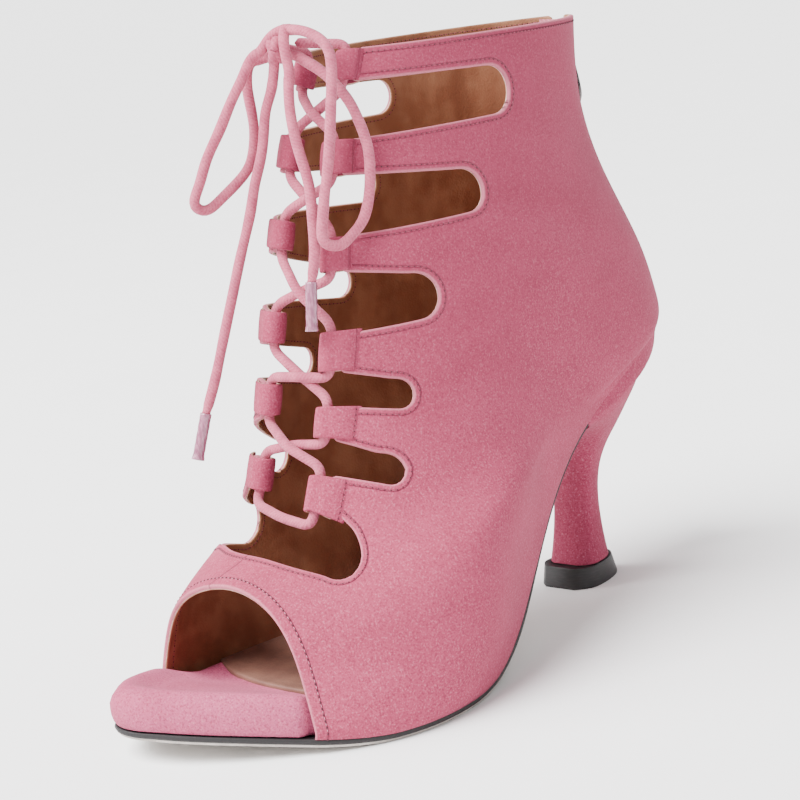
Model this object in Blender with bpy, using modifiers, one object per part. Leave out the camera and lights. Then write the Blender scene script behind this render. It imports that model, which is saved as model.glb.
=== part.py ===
"""Peep-toe lace-up ankle bootie on a slim covered heel, left foot.

World frame: +X lateral side, -Y toe, +Z up, metres. The origin is the middle of the
forefoot's flat rest spot on the floor. Lengths below are millimetres and are scaled by MM.
Along the shoe a place is given as its distance in front of the heel's back ("ahead").
"""

import math

import bmesh
import bpy
import numpy as np

MM = 0.001

# Driving sizes of the last.
LENGTH = 216.0
BALL_WIDTH = 88.0
SHAFT_TOP = 178.0
REST_SPOT = 160.0

# Thicknesses and fits.
WALL = 1.8
OUTSOLE = 2.3
OUTSOLE_EDGE = 0.8
FOOTBED = 7.3
BED_DISH = 0.9
RIM_SWELL = 1.0
SOCK = 1.0
SOCK_END = 197.0
GAP = 0.3
LACE_RADIUS = 1.5

# Rings of the last, from the collar down to the feather edge where upper meets sole.
# Each runs once round the foot between its back point and its front point.
# back, front: percent of LENGTH; heights: percent of SHAFT_TOP; front_x: percent of BALL_WIDTH.
RING_ENDS = (
    # row             back  back_z  front  front_z front_x
    ("collar",         9.1, 100.0,  57.6, 100.6,   0.0),
    ("ankle",         10.7,  87.1,  62.3,  88.8,   0.0),
    ("shaft",          7.6,  72.5,  67.0,  74.2,   0.0),
    ("instep",         2.7,  58.6,  70.5,  59.6,   0.0),
    ("throat_mid",     0.9,  51.5,  72.9,  46.1,   0.0),
    ("throat_low",     0.5,  49.6,  75.5,  33.7,   0.0),
    ("throat_end",     0.3,  48.3,  79.9,  26.1,   1.1),
    ("vamp",           0.3,  47.0,  86.3,  22.5,   1.1),
    ("toe_box",        0.4,  45.7,  94.0,  15.2,  -6.8),
    ("feather",        0.3,  44.3, 100.0,   4.8, -22.7),
)
# Where along a ring, from back to front, its half-widths are given.
STATIONS = (0.07, 0.25, 0.50, 0.75, 0.93)
# Half-width on the lateral side at each station, percent of BALL_WIDTH.
LATERAL = (
    ("collar",        10.9,  22.8,  27.6,  23.6,  13.9),
    ("ankle",         13.2,  24.4,  29.6,  25.6,  15.1),
    ("shaft",         15.5,  27.8,  34.0,  30.7,  17.2),
    ("instep",        19.8,  32.0,  37.4,  35.2,  20.6),
    ("throat_mid",    21.2,  33.4,  37.8,  38.2,  24.1),
    ("throat_low",    21.9,  33.4,  38.2,  43.2,  29.1),
    ("throat_end",    22.3,  33.1,  39.2,  50.7,  33.0),
    ("vamp",          22.2,  32.3,  40.6,  55.5,  35.0),
    ("toe_box",       21.8,  31.3,  41.4,  57.3,  31.8),
    ("feather",       22.1,  29.8,  39.8,  53.4,  23.3),
)
# The same on the medial side.
MEDIAL = (
    ("collar",        11.1,  22.8,  27.5,  23.6,  13.6),
    ("ankle",         12.8,  24.4,  29.6,  25.6,  15.0),
    ("shaft",         15.3,  27.8,  34.0,  30.7,  17.4),
    ("instep",        19.8,  32.0,  36.6,  34.1,  20.6),
    ("throat_mid",    21.4,  33.4,  36.6,  36.4,  23.6),
    ("throat_low",    22.3,  33.2,  36.5,  38.7,  26.6),
    ("throat_end",    22.7,  32.5,  35.8,  39.8,  28.4),
    ("vamp",          22.6,  31.8,  35.6,  41.2,  30.8),
    ("toe_box",       22.2,  31.1,  35.2,  41.4,  31.2),
    ("feather",       22.5,  30.0,  34.1,  40.5,  34.6),
)
# Rise of the ring above the straight line from back to front, percent of SHAFT_TOP.
LATERAL_LIFT = (
    ("throat_mid",     0.0,  -0.9,  -1.1,  -0.6,  -0.2),
    ("throat_low",     0.0,  -1.0,  -1.2,  -0.6,  -0.2),
    ("throat_end",     0.0,  -1.0,  -1.2,  -1.4,  -1.6),
    ("vamp",           0.2,  -0.9,  -1.9,  -3.9,  -3.8),
    ("toe_box",        0.7,   0.3,  -6.4, -11.8,  -7.4),
)
MEDIAL_LIFT = (
    ("throat_mid",     0.0,  -0.9,  -1.1,  -0.6,  -0.2),
    ("throat_low",     0.0,  -1.0,  -1.2,  -0.6,  -0.2),
    ("throat_end",     0.0,  -1.0,  -1.2,  -1.4,  -1.6),
    ("vamp",           0.2,  -0.9,  -1.9,  -3.9,  -3.3),
    ("toe_box",        0.7,   0.3,  -6.4, -11.0,  -4.3),
)
# Top of the outsole and of the heel seat, along the shoe.
SOLE_LINE = (
    # ahead  height, millimetres
    (0.6, 78.6),
    (16.0, 76.1),
    (36.0, 71.2),
    (52.0, 63.8),
    (65.0, 55.9),
    (80.0, 43.2),
    (94.0, 28.8),
    (108.0, 15.4),
    (122.0, 6.8),
    (136.0, 2.9),
    (148.0, 2.2),
    (172.0, 2.2),
    (186.0, 3.6),
    (200.0, 6.3),
    (216.0, 9.3),
)

# Upper: toe opening and lace throat.
TOE_OPENING = 188.3
TOE_OPENING_TURN = 0.07
TOE_OPENING_LEAN = 0.08
THROAT_EDGE = (
    # height  medial fold  lateral fold, across the shoe
    (200.0, -5.0, 4.0),
    (177.0, -4.0, 4.8),
    (152.0, -2.0, 5.8),
    (130.0, -0.5, 8.2),
    (105.0, -1.8, 10.2),
    (87.0, -3.0, 10.2),
    (66.0, -6.6, 9.4),
    (40.0, -8.0, 9.0),
)
# Slots beside the throat: one row for each, top to bottom. The cut runs on past its front.
SLOTS_LATERAL = (
    # rear  top_rear  bottom_rear  front  top_front  bottom_front  run
    (78.3, 169.4, 155.6, 132.0, 171.3, 155.6, 45.0),
    (98.0, 142.8, 130.6, 141.0, 146.9, 130.1, 45.0),
    (121.3, 117.6, 104.7, 148.0, 121.8, 104.2, 45.0),
    (135.4, 90.4, 82.0, 153.0, 95.2, 85.2, 45.0),
    (144.3, 71.6, 62.8, 158.0, 77.8, 67.0, 45.0),
)
SLOTS_MEDIAL = (
    (72.0, 166.5, 156.3, 128.0, 169.3, 157.5, 45.0),
    (79.5, 141.0, 130.6, 137.0, 147.6, 135.4, 45.0),
    (92.5, 113.0, 103.4, 145.0, 126.6, 111.2, 45.0),
    (113.0, 92.4, 83.2, 152.0, 101.6, 91.6, 45.0),
    (126.5, 67.0, 57.2, 158.0, 81.8, 70.9, 45.0),
    (139.4, 51.4, 38.8, 156.0, 57.4, 42.2, 5.0),
)
# The lowest slot crosses the instep from side to side, seen from above.
INSTEP_SLOT = (
    # across  rear_edge  front_edge
    (-26.0, 156.0, 164.4),
    (-16.0, 158.4, 170.4),
    (-6.0, 161.6, 173.9),
    (4.0, 163.4, 175.0),
    (14.0, 162.0, 174.6),
    (24.0, 160.6, 172.2),
)
INSTEP_SLOT_FLOOR = 38.0
INSTEP_SLOT_ROOF = 70.0

# Lace loops folded from the ends of the straps: height of each, bottom and top.
LOOPS_LATERAL = (
    (171.9, 179.0),
    (147.6, 154.9),
    (122.4, 129.4),
    (95.9, 103.5),
    (78.6, 84.5),
    (58.6, 66.4),
)
LOOPS_MEDIAL = (
    (169.9, 177.3),
    (148.2, 156.9),
    (127.2, 134.8),
    (102.2, 110.6),
    (82.4, 91.0),
    (61.4, 70.3),
)
LOOP_LENGTH = 11.5
LOOP_FLAP = 1.5
LOOP_RADIUS = 3.2
LOOP_RISE = 0.5
BORE_RADIUS = 2.35

# Heel, from the top lift up to the seat.
HEEL_SEAT_EDGE = 0.7
HEEL_ROWS = (
    # back  back_z  front  front_z  half_width  seat_share
    (27.9, 6.9, 46.0, 6.9, 9.0, 0.0),
    (28.6, 13.5, 44.8, 13.5, 7.9, 0.0),
    (29.1, 21.5, 43.4, 21.5, 7.2, 0.0),
    (28.9, 29.0, 42.4, 29.0, 7.2, 0.0),
    (27.3, 36.0, 42.0, 36.4, 8.0, 0.0),
    (23.9, 42.8, 42.6, 43.6, 10.2, 0.06),
    (18.9, 49.8, 45.4, 49.0, 13.4, 0.22),
    (13.0, 58.2, 51.4, 52.8, 16.8, 0.4),
    (7.4, 67.4, 57.4, 55.2, 19.4, 0.64),
    (3.6, 73.9, 60.4, 56.4, 20.6, 0.8),
    (-0.7, 78.6, 62.9, 57.4, 24.0, 1.0),
    (-0.7, 92.0, 65.4, 76.0, 24.0, 1.0),
)
HEEL_TIP_ROWS = (
    (24.5, 0.0, 50.2, 0.0, 10.6, 0.0),
    (25.4, 3.2, 49.8, 3.2, 10.3, 0.0),
    (26.6, 6.6, 49.0, 6.6, 9.9, 0.0),
)

# Back zip.
ZIP_BOTTOM = 96.0
ZIP_SLIT = 5.6
TAPE_WIDTH = 9.6
TAPE_THICK = 0.8
TAPE_BOW = 2.0
TEETH_WIDTH = 4.6
SLIDER_BOTTOM = 165.5
SLIDER_TOP = 173.5
SLIDER_RISE = WALL + 2.5
PULL_HINGE = 168.8
PULL_THICK = 1.1
PULL_ROWS = (
    # below the hinge, half-width
    (-0.5, 1.1),
    (0.6, 1.4),
    (4.0, 1.5),
    (11.0, 2.6),
    (15.6, 3.1),
    (18.8, 2.6),
    (20.4, 1.1),
)

# Where the lace leaves the knot on each side, and how the lowest bar hangs:
# across, ahead, height.
LACE_STARTS = (np.array([-6.2, 132.2, 181.6]), np.array([-2.4, 132.2, 182.9]))
LACE_DROP = np.array([0.0, 1.6, -1.6])
BEND_GAP = 1.8

# Free lace, hand-placed routes: across, world Y, height.
KNOT = (-4.5, 23.0, 180.5)
KNOT_RADII = (3.4, 3.4, 4.8)
BOW_LEFT = (
    (-7.5, 19.5, 182.0), (-9.0, 17.5, 180.5), (-10.5, 14.5, 176.0), (-13.0, 11.5, 170.0),
    (-16.0, 7.5, 161.5), (-19.0, 4.0, 154.0), (-21.0, 1.5, 147.0), (-22.0, 0.5, 142.0),
    (-21.5, 2.5, 140.5), (-19.5, 7.5, 142.5), (-17.0, 12.5, 146.5), (-15.0, 16.0, 150.5),
    (-14.5, 18.5, 156.0), (-14.5, 19.5, 163.0), (-15.0, 19.5, 170.0), (-14.5, 19.5, 175.5),
    (-13.0, 20.5, 179.0), (-11.0, 22.0, 179.5),
)
BOW_RIGHT = (
    (-1.0, 24.0, 186.8), (4.5, 23.5, 186.5), (10.0, 24.0, 184.5), (14.0, 24.0, 181.0),
    (15.5, 23.0, 175.5), (16.0, 21.0, 168.0), (16.0, 19.0, 159.5), (16.0, 16.5, 150.5),
    (16.0, 13.5, 142.0), (16.0, 11.5, 135.5), (16.5, 11.0, 130.0), (18.0, 14.5, 128.5),
    (19.0, 19.0, 130.5), (20.0, 22.5, 133.5), (21.0, 25.0, 139.0), (21.0, 27.0, 146.0),
    (20.0, 28.5, 153.0), (17.5, 29.0, 160.0), (15.0, 28.5, 166.0), (12.0, 27.5, 170.5),
    (7.5, 26.5, 175.0), (3.0, 25.5, 178.0), (0.6, 25.2, 179.4),
)
END_RIGHT = (
    (2.0, 20.0, 175.5), (2.5, 18.5, 171.0), (3.5, 17.0, 165.0), (5.0, 16.0, 159.0),
    (7.0, 15.5, 152.0), (9.0, 15.0, 145.5), (10.5, 13.5, 139.0), (11.5, 12.0, 132.0),
    (12.5, 10.0, 125.5), (12.5, 8.0, 120.0),
)
END_LEFT = (
    (-5.5, 21.0, 174.6), (-6.0, 20.0, 171.0), (-7.0, 18.0, 166.0), (-7.5, 16.5, 160.0),
    (-8.0, 14.5, 153.0), (-9.5, 12.5, 146.5), (-11.0, 11.0, 139.5), (-12.5, 9.0, 132.5),
    (-13.5, 6.5, 126.0), (-14.5, 4.0, 119.0), (-15.5, 1.5, 112.0), (-17.0, -1.5, 103.0),
    (-18.5, -4.5, 94.0), (-20.0, -8.0, 85.5),
)
TIP_RIGHT = ((12.5, 7.7, 119.6), (12.8, 6.3, 113.0), (13.0, 5.0, 106.5))
TIP_LEFT = ((-20.1, -8.3, 84.9), (-20.8, -10.4, 78.7), (-21.5, -12.5, 72.5))
TIP_RADIUS = 1.6

MATERIALS = {
    # name: (red, green, blue), roughness, metallic
    "pink_suede": ((0.56, 0.20, 0.27), 0.9, 0.0),
    "pink_lace": ((0.66, 0.27, 0.36), 0.8, 0.0),
    "beige_lining": ((0.62, 0.42, 0.30), 0.6, 0.0),
    "black_sole": ((0.02, 0.015, 0.015), 0.5, 0.0),
    "black_rubber": ((0.015, 0.015, 0.015), 0.6, 0.0),
    "pink_tape": ((0.60, 0.26, 0.32), 0.8, 0.0),
    "dark_metal": ((0.08, 0.07, 0.07), 0.35, 1.0),
    "clear_tip": ((0.72, 0.50, 0.60), 0.25, 0.0),
}


def clear_scene():
    for item in list(bpy.data.objects):
        bpy.data.objects.remove(item, do_unlink=True)


def make_collection(name):
    collection = bpy.data.collections.new(name)
    bpy.context.scene.collection.children.link(collection)
    return collection


def make_material(name):
    colour, roughness, metallic = MATERIALS[name]
    material = bpy.data.materials.new(name)
    material.use_nodes = True
    shader = material.node_tree.nodes["Principled BSDF"]
    shader.inputs["Base Color"].default_value = (*colour, 1.0)
    shader.inputs["Roughness"].default_value = roughness
    shader.inputs["Metallic"].default_value = metallic
    return material


# ---------------------------------------------------------------- curves through points

def spline(knots, values, at, closed=False):
    """Natural or closed cubic curve through values at knots, read at the given places."""
    knots = np.asarray(knots, float)
    values = np.asarray(values, float)
    shape = values.shape[1:]
    values = values.reshape(len(values), -1)
    step = np.diff(knots)
    count = len(step) if closed else len(knots)
    matrix = np.zeros((count, count))
    right = np.zeros((count, values.shape[1]))
    if closed:
        rows = range(count)
    else:
        rows = range(1, count - 1)
        matrix[0, 0] = 1.0
        matrix[-1, -1] = 1.0
    for i in rows:
        before = step[i - 1]
        after = step[i]
        following = (i + 1) % count if closed else i + 1
        matrix[i, i - 1] += before
        matrix[i, i] += 2.0 * (before + after)
        matrix[i, following] += after
        rise_after = (values[following] - values[i]) / after
        rise_before = (values[i] - values[i - 1 if i else count - 1]) / before
        right[i] = 6.0 * (rise_after - rise_before)
    if closed:
        bend = np.linalg.solve(matrix, right)
        bend = np.concatenate([bend, bend[:1]])
        values = np.concatenate([values[:count], values[:1]])
    else:
        bend = np.linalg.solve(matrix, right)
    at = np.asarray(at, float)
    i = np.clip(np.searchsorted(knots, at, side="right") - 1, 0, len(knots) - 2)
    width = (knots[i + 1] - knots[i])[:, None]
    low = (knots[i + 1] - at)[:, None] / width
    high = (at - knots[i])[:, None] / width
    curve = low * values[i] + high * values[i + 1]
    curve += ((low**3 - low) * bend[i] + (high**3 - high) * bend[i + 1]) * width**2 / 6.0
    return curve.reshape((-1, *shape))


def chord_knots(points):
    steps = np.linalg.norm(np.diff(points, axis=0), axis=1)
    return np.concatenate([[0.0], np.cumsum(steps)])


def smooth_route(points, spacing):
    """Points of a smooth curve through the route's own points."""
    points = np.asarray(points, float)
    knots = chord_knots(points)
    count = max(2, round(knots[-1] / spacing))
    return spline(knots, points, np.linspace(0.0, knots[-1], count + 1))


# ---------------------------------------------------------------- the last

def sole_top(ahead):
    """Height of the outsole's top; it is flat over the forefoot's rest spot."""
    line = np.array(SOLE_LINE)
    ahead = np.atleast_1d(np.asarray(ahead, float))
    inside = np.clip(ahead, line[0, 0], line[-1, 0])
    height = spline(line[:, 0], line[:, 1:], inside)[:, 0]
    return np.maximum(height, OUTSOLE)


def ring_controls(row):
    """The twelve points that a ring passes through: across, ahead, height."""
    name, back, back_z, front, front_z, front_x = RING_ENDS[row]
    start = np.array([0.0, back / 100 * LENGTH, back_z / 100 * SHAFT_TOP])
    end = np.array([front_x / 100 * BALL_WIDTH, front / 100 * LENGTH, front_z / 100 * SHAFT_TOP])
    sides = []
    for sign, table, lifts in ((1.0, LATERAL, LATERAL_LIFT), (-1.0, MEDIAL, MEDIAL_LIFT)):
        lift = dict((entry[0], entry[1:]) for entry in lifts).get(name, (0.0,) * len(STATIONS))
        points = []
        for share, width, rise in zip(STATIONS, table[row][1:], lift):
            point = start + share * (end - start)
            point[0] = sign * width / 100 * BALL_WIDTH
            point[2] += rise / 100 * SHAFT_TOP
            points.append(point)
        sides.append(points)
    controls = np.array([start, *sides[0], end, *sides[1][::-1]])
    if name == "feather":
        controls[:, 2] = sole_top(controls[:, 1])
    return controls


def ring_points(row, count):
    """A ring as count points; the first is at the back, the middle one at the front."""
    controls = ring_controls(row)
    closed = np.concatenate([controls, controls[:1]])
    knots = chord_knots(closed)
    place = np.arange(count) * len(controls) / count
    whole = np.floor(place).astype(int)
    at = knots[whole] + (place - whole) * (knots[whole + 1] - knots[whole])
    points = spline(knots, closed, at, closed=True)
    if RING_ENDS[row][0] == "feather":
        points[:, 2] = sole_top(points[:, 1])
    return points


def last_surface(columns, rows):
    """The outer face of the upper: a grid of points from collar to feather edge."""
    rings = np.array([ring_points(row, columns) for row in range(len(RING_ENDS))])
    steps = np.linalg.norm(np.diff(rings, axis=0), axis=2).mean(axis=1)
    knots = np.concatenate([[0.0], np.cumsum(steps)])
    return spline(knots, rings, np.linspace(0.0, knots[-1], rows))


class FrontFace:
    """The instep as a height field: how far ahead the last reaches at (across, height)."""

    def __init__(self):
        grid = last_surface(240, 220)
        span = range(50, 191)
        self.columns = [grid[:, column] for column in span]

    def ahead(self, across, height):
        line = []
        for column in self.columns:
            order = column[::-1]
            x = np.interp(height, order[:, 2], order[:, 0])
            q = np.interp(height, order[:, 2], order[:, 1])
            line.append((x, q))
        line = np.array(sorted(line))
        return np.interp(across, line[:, 0], line[:, 1])

    def walk(self, edge, side, height, distance, rise):
        """A point on the last, a distance from the throat's edge and risen off its face."""
        across = edge + side * np.linspace(0.0, 24.0, 49)
        ahead = self.ahead(across, height)
        path = np.stack([across, ahead], axis=1)
        travelled = chord_knots(path)
        x = np.interp(distance, travelled, across)
        slope = (self.ahead(x + 0.5, height) - self.ahead(x - 0.5, height)) / 1.0
        fall = (self.ahead(x, height + 1.0) - self.ahead(x, height - 1.0)) / 2.0
        normal = np.array([-slope, 1.0, -fall])
        normal /= np.linalg.norm(normal)
        return np.array([x, self.ahead(x, height), height]) + rise * normal


def throat_edge(height, side):
    table = np.array(THROAT_EDGE[::-1])
    column = 2 if side > 0 else 1
    return np.interp(height, table[:, 0], table[:, column])


class Outline:
    """The feather edge seen from above, and its copies drawn in or out."""

    def __init__(self):
        self.ring = ring_points(len(RING_ENDS) - 1, 240)[:, :2]
        ahead = np.roll(self.ring, -1, axis=0) - np.roll(self.ring, 1, axis=0)
        length = np.linalg.norm(ahead, axis=1, keepdims=True)
        self.inward = np.stack([-ahead[:, 1], ahead[:, 0]], axis=1) / length
        centre = self.ring.mean(axis=0)
        if ((centre - self.ring) * self.inward).sum() < 0:
            self.inward = -self.inward

    def ends(self, inset):
        ring = self.ring + inset * self.inward
        return ring[:, 1].min(), ring[:, 1].max()

    def edges(self, ahead, inset):
        """Medial and lateral edge at a distance ahead of the heel's back."""
        ring = self.ring + inset * self.inward
        low = ring[:, 1].argmin()
        ring = np.roll(ring, -low, axis=0)
        high = ring[:, 1].argmax()
        first = ring[: high + 1]
        second = np.concatenate([ring[high:], ring[:1]])[::-1]
        a = np.interp(ahead, first[:, 1], first[:, 0])
        b = np.interp(ahead, second[:, 1], second[:, 0])
        return min(a, b), max(a, b)


# ---------------------------------------------------------------- meshes

def to_world(points):
    """From (across, ahead, height) in millimetres to world metres."""
    points = np.array(points, float)
    points[:, 1] = REST_SPOT - points[:, 1]
    return points * MM


def mesh_object(name, points, faces, collection, material=None):
    mesh = bpy.data.meshes.new(name)
    mesh.from_pydata([tuple(p) for p in points], [], faces)
    if material is not None:
        mesh.materials.append(material)
    body = bpy.data.objects.new(name, mesh)
    collection.objects.link(body)
    return body


def face_outward(body):
    work = bmesh.new()
    work.from_mesh(body.data)
    bmesh.ops.recalc_face_normals(work, faces=work.faces)
    if work.calc_volume(signed=True) < 0.0:
        bmesh.ops.reverse_faces(work, faces=work.faces)
    work.to_mesh(body.data)
    work.free()


def loft(name, sections, collection, material=None):
    """A closed solid through equal rings of world points, with flat end caps."""
    sections = [np.asarray(section) for section in sections]
    size = len(sections[0])
    points = np.concatenate(sections)
    faces = []
    for row in range(len(sections) - 1):
        for i in range(size):
            j = (i + 1) % size
            low = row * size
            faces.append((low + i, low + j, low + size + j, low + size + i))
    faces.append(tuple(range(size))[::-1])
    faces.append(tuple(len(points) - size + i for i in range(size)))
    body = mesh_object(name, points, faces, collection, material)
    face_outward(body)
    return body


def join_bodies(name, bodies, collection):
    """One mesh that holds several separate closed bodies."""
    points = []
    faces = []
    for body in bodies:
        first = len(points)
        points += [tuple(v.co) for v in body.data.vertices]
        faces += [tuple(first + i for i in face.vertices) for face in body.data.polygons]
        bpy.data.objects.remove(body, do_unlink=True)
    return mesh_object(name, points, faces, collection)


def boolean(body, tool, operation, solver="EXACT"):
    modifier = body.modifiers.new(tool.name, "BOOLEAN")
    modifier.operation = operation
    modifier.solver = solver
    modifier.object = tool
    tool.hide_render = True
    tool.display_type = "WIRE"


def shade(body, degrees=40.0):
    body.data.shade_smooth()
    body.data.set_sharp_from_angle(angle=math.radians(degrees))


def tube_object(name, points, radius, collection, material=None):
    """A cord along world points: a poly curve with a round bevel, turned into a mesh."""
    curve = bpy.data.curves.new(name, "CURVE")
    curve.dimensions = "3D"
    curve.bevel_depth = radius * MM
    curve.bevel_resolution = 2
    curve.use_fill_caps = True
    line = curve.splines.new("POLY")
    line.points.add(len(points) - 1)
    for target, point in zip(line.points, points):
        target.co = (*point, 1.0)
    guide = bpy.data.objects.new(name + "_guide", curve)
    collection.objects.link(guide)
    bpy.context.view_layer.update()
    graph = bpy.context.evaluated_depsgraph_get()
    mesh = bpy.data.meshes.new_from_object(guide.evaluated_get(graph))
    work = bmesh.new()
    work.from_mesh(mesh)
    bmesh.ops.remove_doubles(work, verts=work.verts, dist=0.01 * MM)
    bmesh.ops.recalc_face_normals(work, faces=work.faces)
    work.to_mesh(mesh)
    work.free()
    mesh.name = name
    mesh.materials.clear()
    if material is not None:
        mesh.materials.append(material)
    body = bpy.data.objects.new(name, mesh)
    collection.objects.link(body)
    bpy.data.objects.remove(guide, do_unlink=True)
    return body


# ---------------------------------------------------------------- sole and heel

def slab(name, outline, profile, start, end, count, collection, material=None):
    """A piece that follows the sole line: profile rows are (inset, height above the line).

    An inset may be a number or a function of the distance ahead.
    """
    rounding = (1.0 - np.cos(np.linspace(0.0, math.pi, count))) / 2.0
    sections = []
    for share in rounding:
        ring = []
        for sign, rows in ((0, profile), (1, profile[::-1])):
            for inset, rise in rows:
                gap = inset(start + share * (end - start)) if callable(inset) else inset
                low, high = outline.ends(gap)
                ahead = max(start, low + 0.25) + share * (
                    min(end, high - 0.25) - max(start, low + 0.25)
                )
                across = outline.edges(ahead, gap)[sign]
                slope = (sole_top(ahead + 0.5) - sole_top(ahead - 0.5))[0]
                scale = 1.0 / math.hypot(1.0, slope)
                height = sole_top(ahead)[0] + rise * scale
                ring.append((across, ahead - rise * slope * scale, height))
        sections.append(to_world(ring))
    return loft(name, sections, collection, material)


def build_outsole(outline, parts, material):
    def drawn_in(extra):
        return lambda ahead: OUTSOLE_EDGE - WALL + 0.6 * past_opening(ahead) + extra

    profile = ((drawn_in(0.8), -OUTSOLE), (drawn_in(0.1), -OUTSOLE + 0.6), (drawn_in(0.0), 0.0))
    body = slab("outsole", outline, profile, 60.8, LENGTH + 1.0, 34, parts, material)
    shade(body)


def past_opening(ahead, start=1.0, length=5.0):
    """0 inside the upper, 1 where the sole stands free in front of the toe opening."""
    share = np.clip((ahead - TOE_OPENING - start) / length, 0.0, 1.0)
    return share * share * (3.0 - 2.0 * share)


def footbed_inset(ahead):
    """The footbed lies inside the upper and swells over the sole's edge in front of it."""
    inside = WALL + 2.0
    return inside - (inside + RIM_SWELL) * past_opening(ahead, 4.8, 2.5)


def build_footbed(outline, parts, material):
    def drawn_in(extra):
        return lambda ahead: footbed_inset(ahead) + extra

    profile = (
        (drawn_in(1.2), GAP),
        (drawn_in(0.2), 1.8),
        (drawn_in(0.0), 4.2),
        (drawn_in(0.8), 6.2),
        (drawn_in(2.6), FOOTBED),
        (drawn_in(6.4), FOOTBED - BED_DISH),
    )
    body = slab("footbed", outline, profile, 0.0, LENGTH + 3.0, 38, parts, material)
    shade(body)


def build_sock(outline, parts, material):
    low = FOOTBED - BED_DISH + 2.0 * GAP
    profile = ((10.6, low), (10.9, low + SOCK))
    body = slab("sock_lining", outline, profile, 0.0, SOCK_END, 26, parts, material)
    shade(body)


def heel_ring(outline, row, count=9):
    """One level of the heel: rounded at the back, nearly flat at the breast."""
    back, back_z, front, front_z, half_width, seat_share = row
    inset = HEEL_SEAT_EDGE - WALL
    seat_back = outline.ends(inset)[0]
    ring = []
    for sign in (1, 0):
        half = []
        for k in range(count + 1):
            share = (1.0 - math.cos(math.pi * k / count * 0.5)) if k < count else 1.0
            share = min(1.0, share)
            bulge = (1.0 - (1.0 - share) ** 2.6) ** 0.5
            corner = 1.0 - 0.45 * max(0.0, (share - 0.72) / 0.28) ** 2.2
            ahead = back + share * (front - back)
            column = half_width * bulge * corner * (1 if sign else -1)
            seat = outline.edges(seat_back + share * (front - back), inset)[sign]
            across = column * (1.0 - seat_share) + seat * seat_share
            if k == 0:
                across = 0.0
            half.append((across, ahead, back_z + share * (front_z - back_z)))
        ring.append(half)
    return to_world(ring[0] + ring[1][:0:-1])


def build_heel(outline, parts, cutters, cover, rubber):
    heel = loft("heel", [heel_ring(outline, row) for row in HEEL_ROWS], parts, cover)
    above = ((-9.0, -GAP), (-9.0, 24.0))
    seat_cut = slab("heel_seat_cut", outline, above, -9.0, 90.0, 30, cutters)
    boolean(heel, seat_cut, "DIFFERENCE")
    recess = ((-9.0, -OUTSOLE - GAP), (-9.0, 6.0))
    sole_cut = slab("heel_sole_cut", outline, recess, 60.4, 95.0, 14, cutters)
    boolean(heel, sole_cut, "DIFFERENCE")
    shade(heel)
    tip = loft("heel_tip", [heel_ring(outline, row) for row in HEEL_TIP_ROWS], parts, rubber)
    shade(tip)


# ---------------------------------------------------------------- upper

def prism(name, outline, axis, low, high, collection):
    """A cutter: a flat outline pushed along one axis, in (across, ahead, height)."""
    sections = []
    for end in (low, high):
        ring = []
        for a, b in outline:
            point = [a, b]
            point.insert(axis, end)
            ring.append(point)
        sections.append(to_world(ring))
    return loft(name, sections, collection)


def slot_outline(row, steps=7):
    """A slot seen from the side, open at the front and round at the rear."""
    rear, top_rear, bottom_rear, front, top_front, bottom_front, run = row
    half = (top_rear - bottom_rear) / 2.0
    middle = (top_rear + bottom_rear) / 2.0
    outline = [(front + run, top_front + 0.02 * run), (front, top_front)]
    for k in range(steps + 1):
        turn = math.pi * k / steps
        outline.append((rear + half * (1.0 - math.sin(turn)), middle + half * math.cos(turn)))
    outline += [(front, bottom_front), (front + run, bottom_front - 0.02 * run)]
    return outline


def instep_outline(steps=6):
    """The lowest slot seen from above, with round ends."""
    rows = np.array(INSTEP_SLOT)
    outline = [(x, rear) for x, rear, _ in rows]
    for (x, rear, front), sign in ((rows[-1], 1.0), (rows[0], -1.0)):
        half = (front - rear) / 2.0
        for k in range(1, steps):
            turn = math.pi * k / steps
            step = -half * math.cos(turn) * sign
            outline.append((x + sign * half * math.sin(turn) * 1.05, (rear + front) / 2.0 + step))
        if sign > 0:
            outline += [(x, front) for x, _, front in rows[::-1]]
    return outline


def loop_sections(face, side, bottom, top, profile):
    """The profile of a loop or of its bore, at the loop's two ends."""
    sections = []
    for height in (bottom, top):
        edge = throat_edge(height, side)
        ring = [face.walk(edge, side, height, reach, rise) for reach, rise in profile]
        sections.append(to_world(ring))
    return sections


def loop_profile():
    """A strap's folded end, cut across: round over the lace, flat along the strap."""
    centre = LOOP_RADIUS + 0.2
    ring = [(LOOP_LENGTH, LOOP_FLAP), (7.5, LOOP_FLAP + 0.6)]
    for degrees in range(60, 301, 30):
        turn = math.radians(degrees)
        reach = centre + LOOP_RADIUS * math.cos(turn)
        ring.append((reach, LOOP_RISE + LOOP_RADIUS * math.sin(turn)))
    ring += [(7.0, -WALL / 2.0), (LOOP_LENGTH, -WALL / 2.0)]
    return ring


def bore_profile(radius, count=8):
    centre = LOOP_RADIUS + 0.2
    ring = []
    for k in range(count):
        turn = 2.0 * math.pi * k / count
        ring.append((centre + radius * math.cos(turn), LOOP_RISE + radius * math.sin(turn)))
    return ring


def each_loop():
    for side, table in ((1.0, LOOPS_LATERAL), (-1.0, LOOPS_MEDIAL)):
        for level, (bottom, top) in enumerate(table, start=1):
            yield side, level, bottom, top


def toe_edge(across, height):
    """How far ahead the upper ends at the toe opening, which is turned and leans back."""
    return TOE_OPENING + TOE_OPENING_TURN * across - TOE_OPENING_LEAN * (height - 20.0)


def build_toe_cutter(collection):
    sections = []
    for height in (-60.0, 120.0):
        near = [(x, toe_edge(x, height), height) for x in (-90.0, 90.0)]
        far = [(x, 300.0, height) for x in (90.0, -90.0)]
        sections.append(to_world(near + far))
    return loft("toe_cut", sections, collection)


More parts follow.
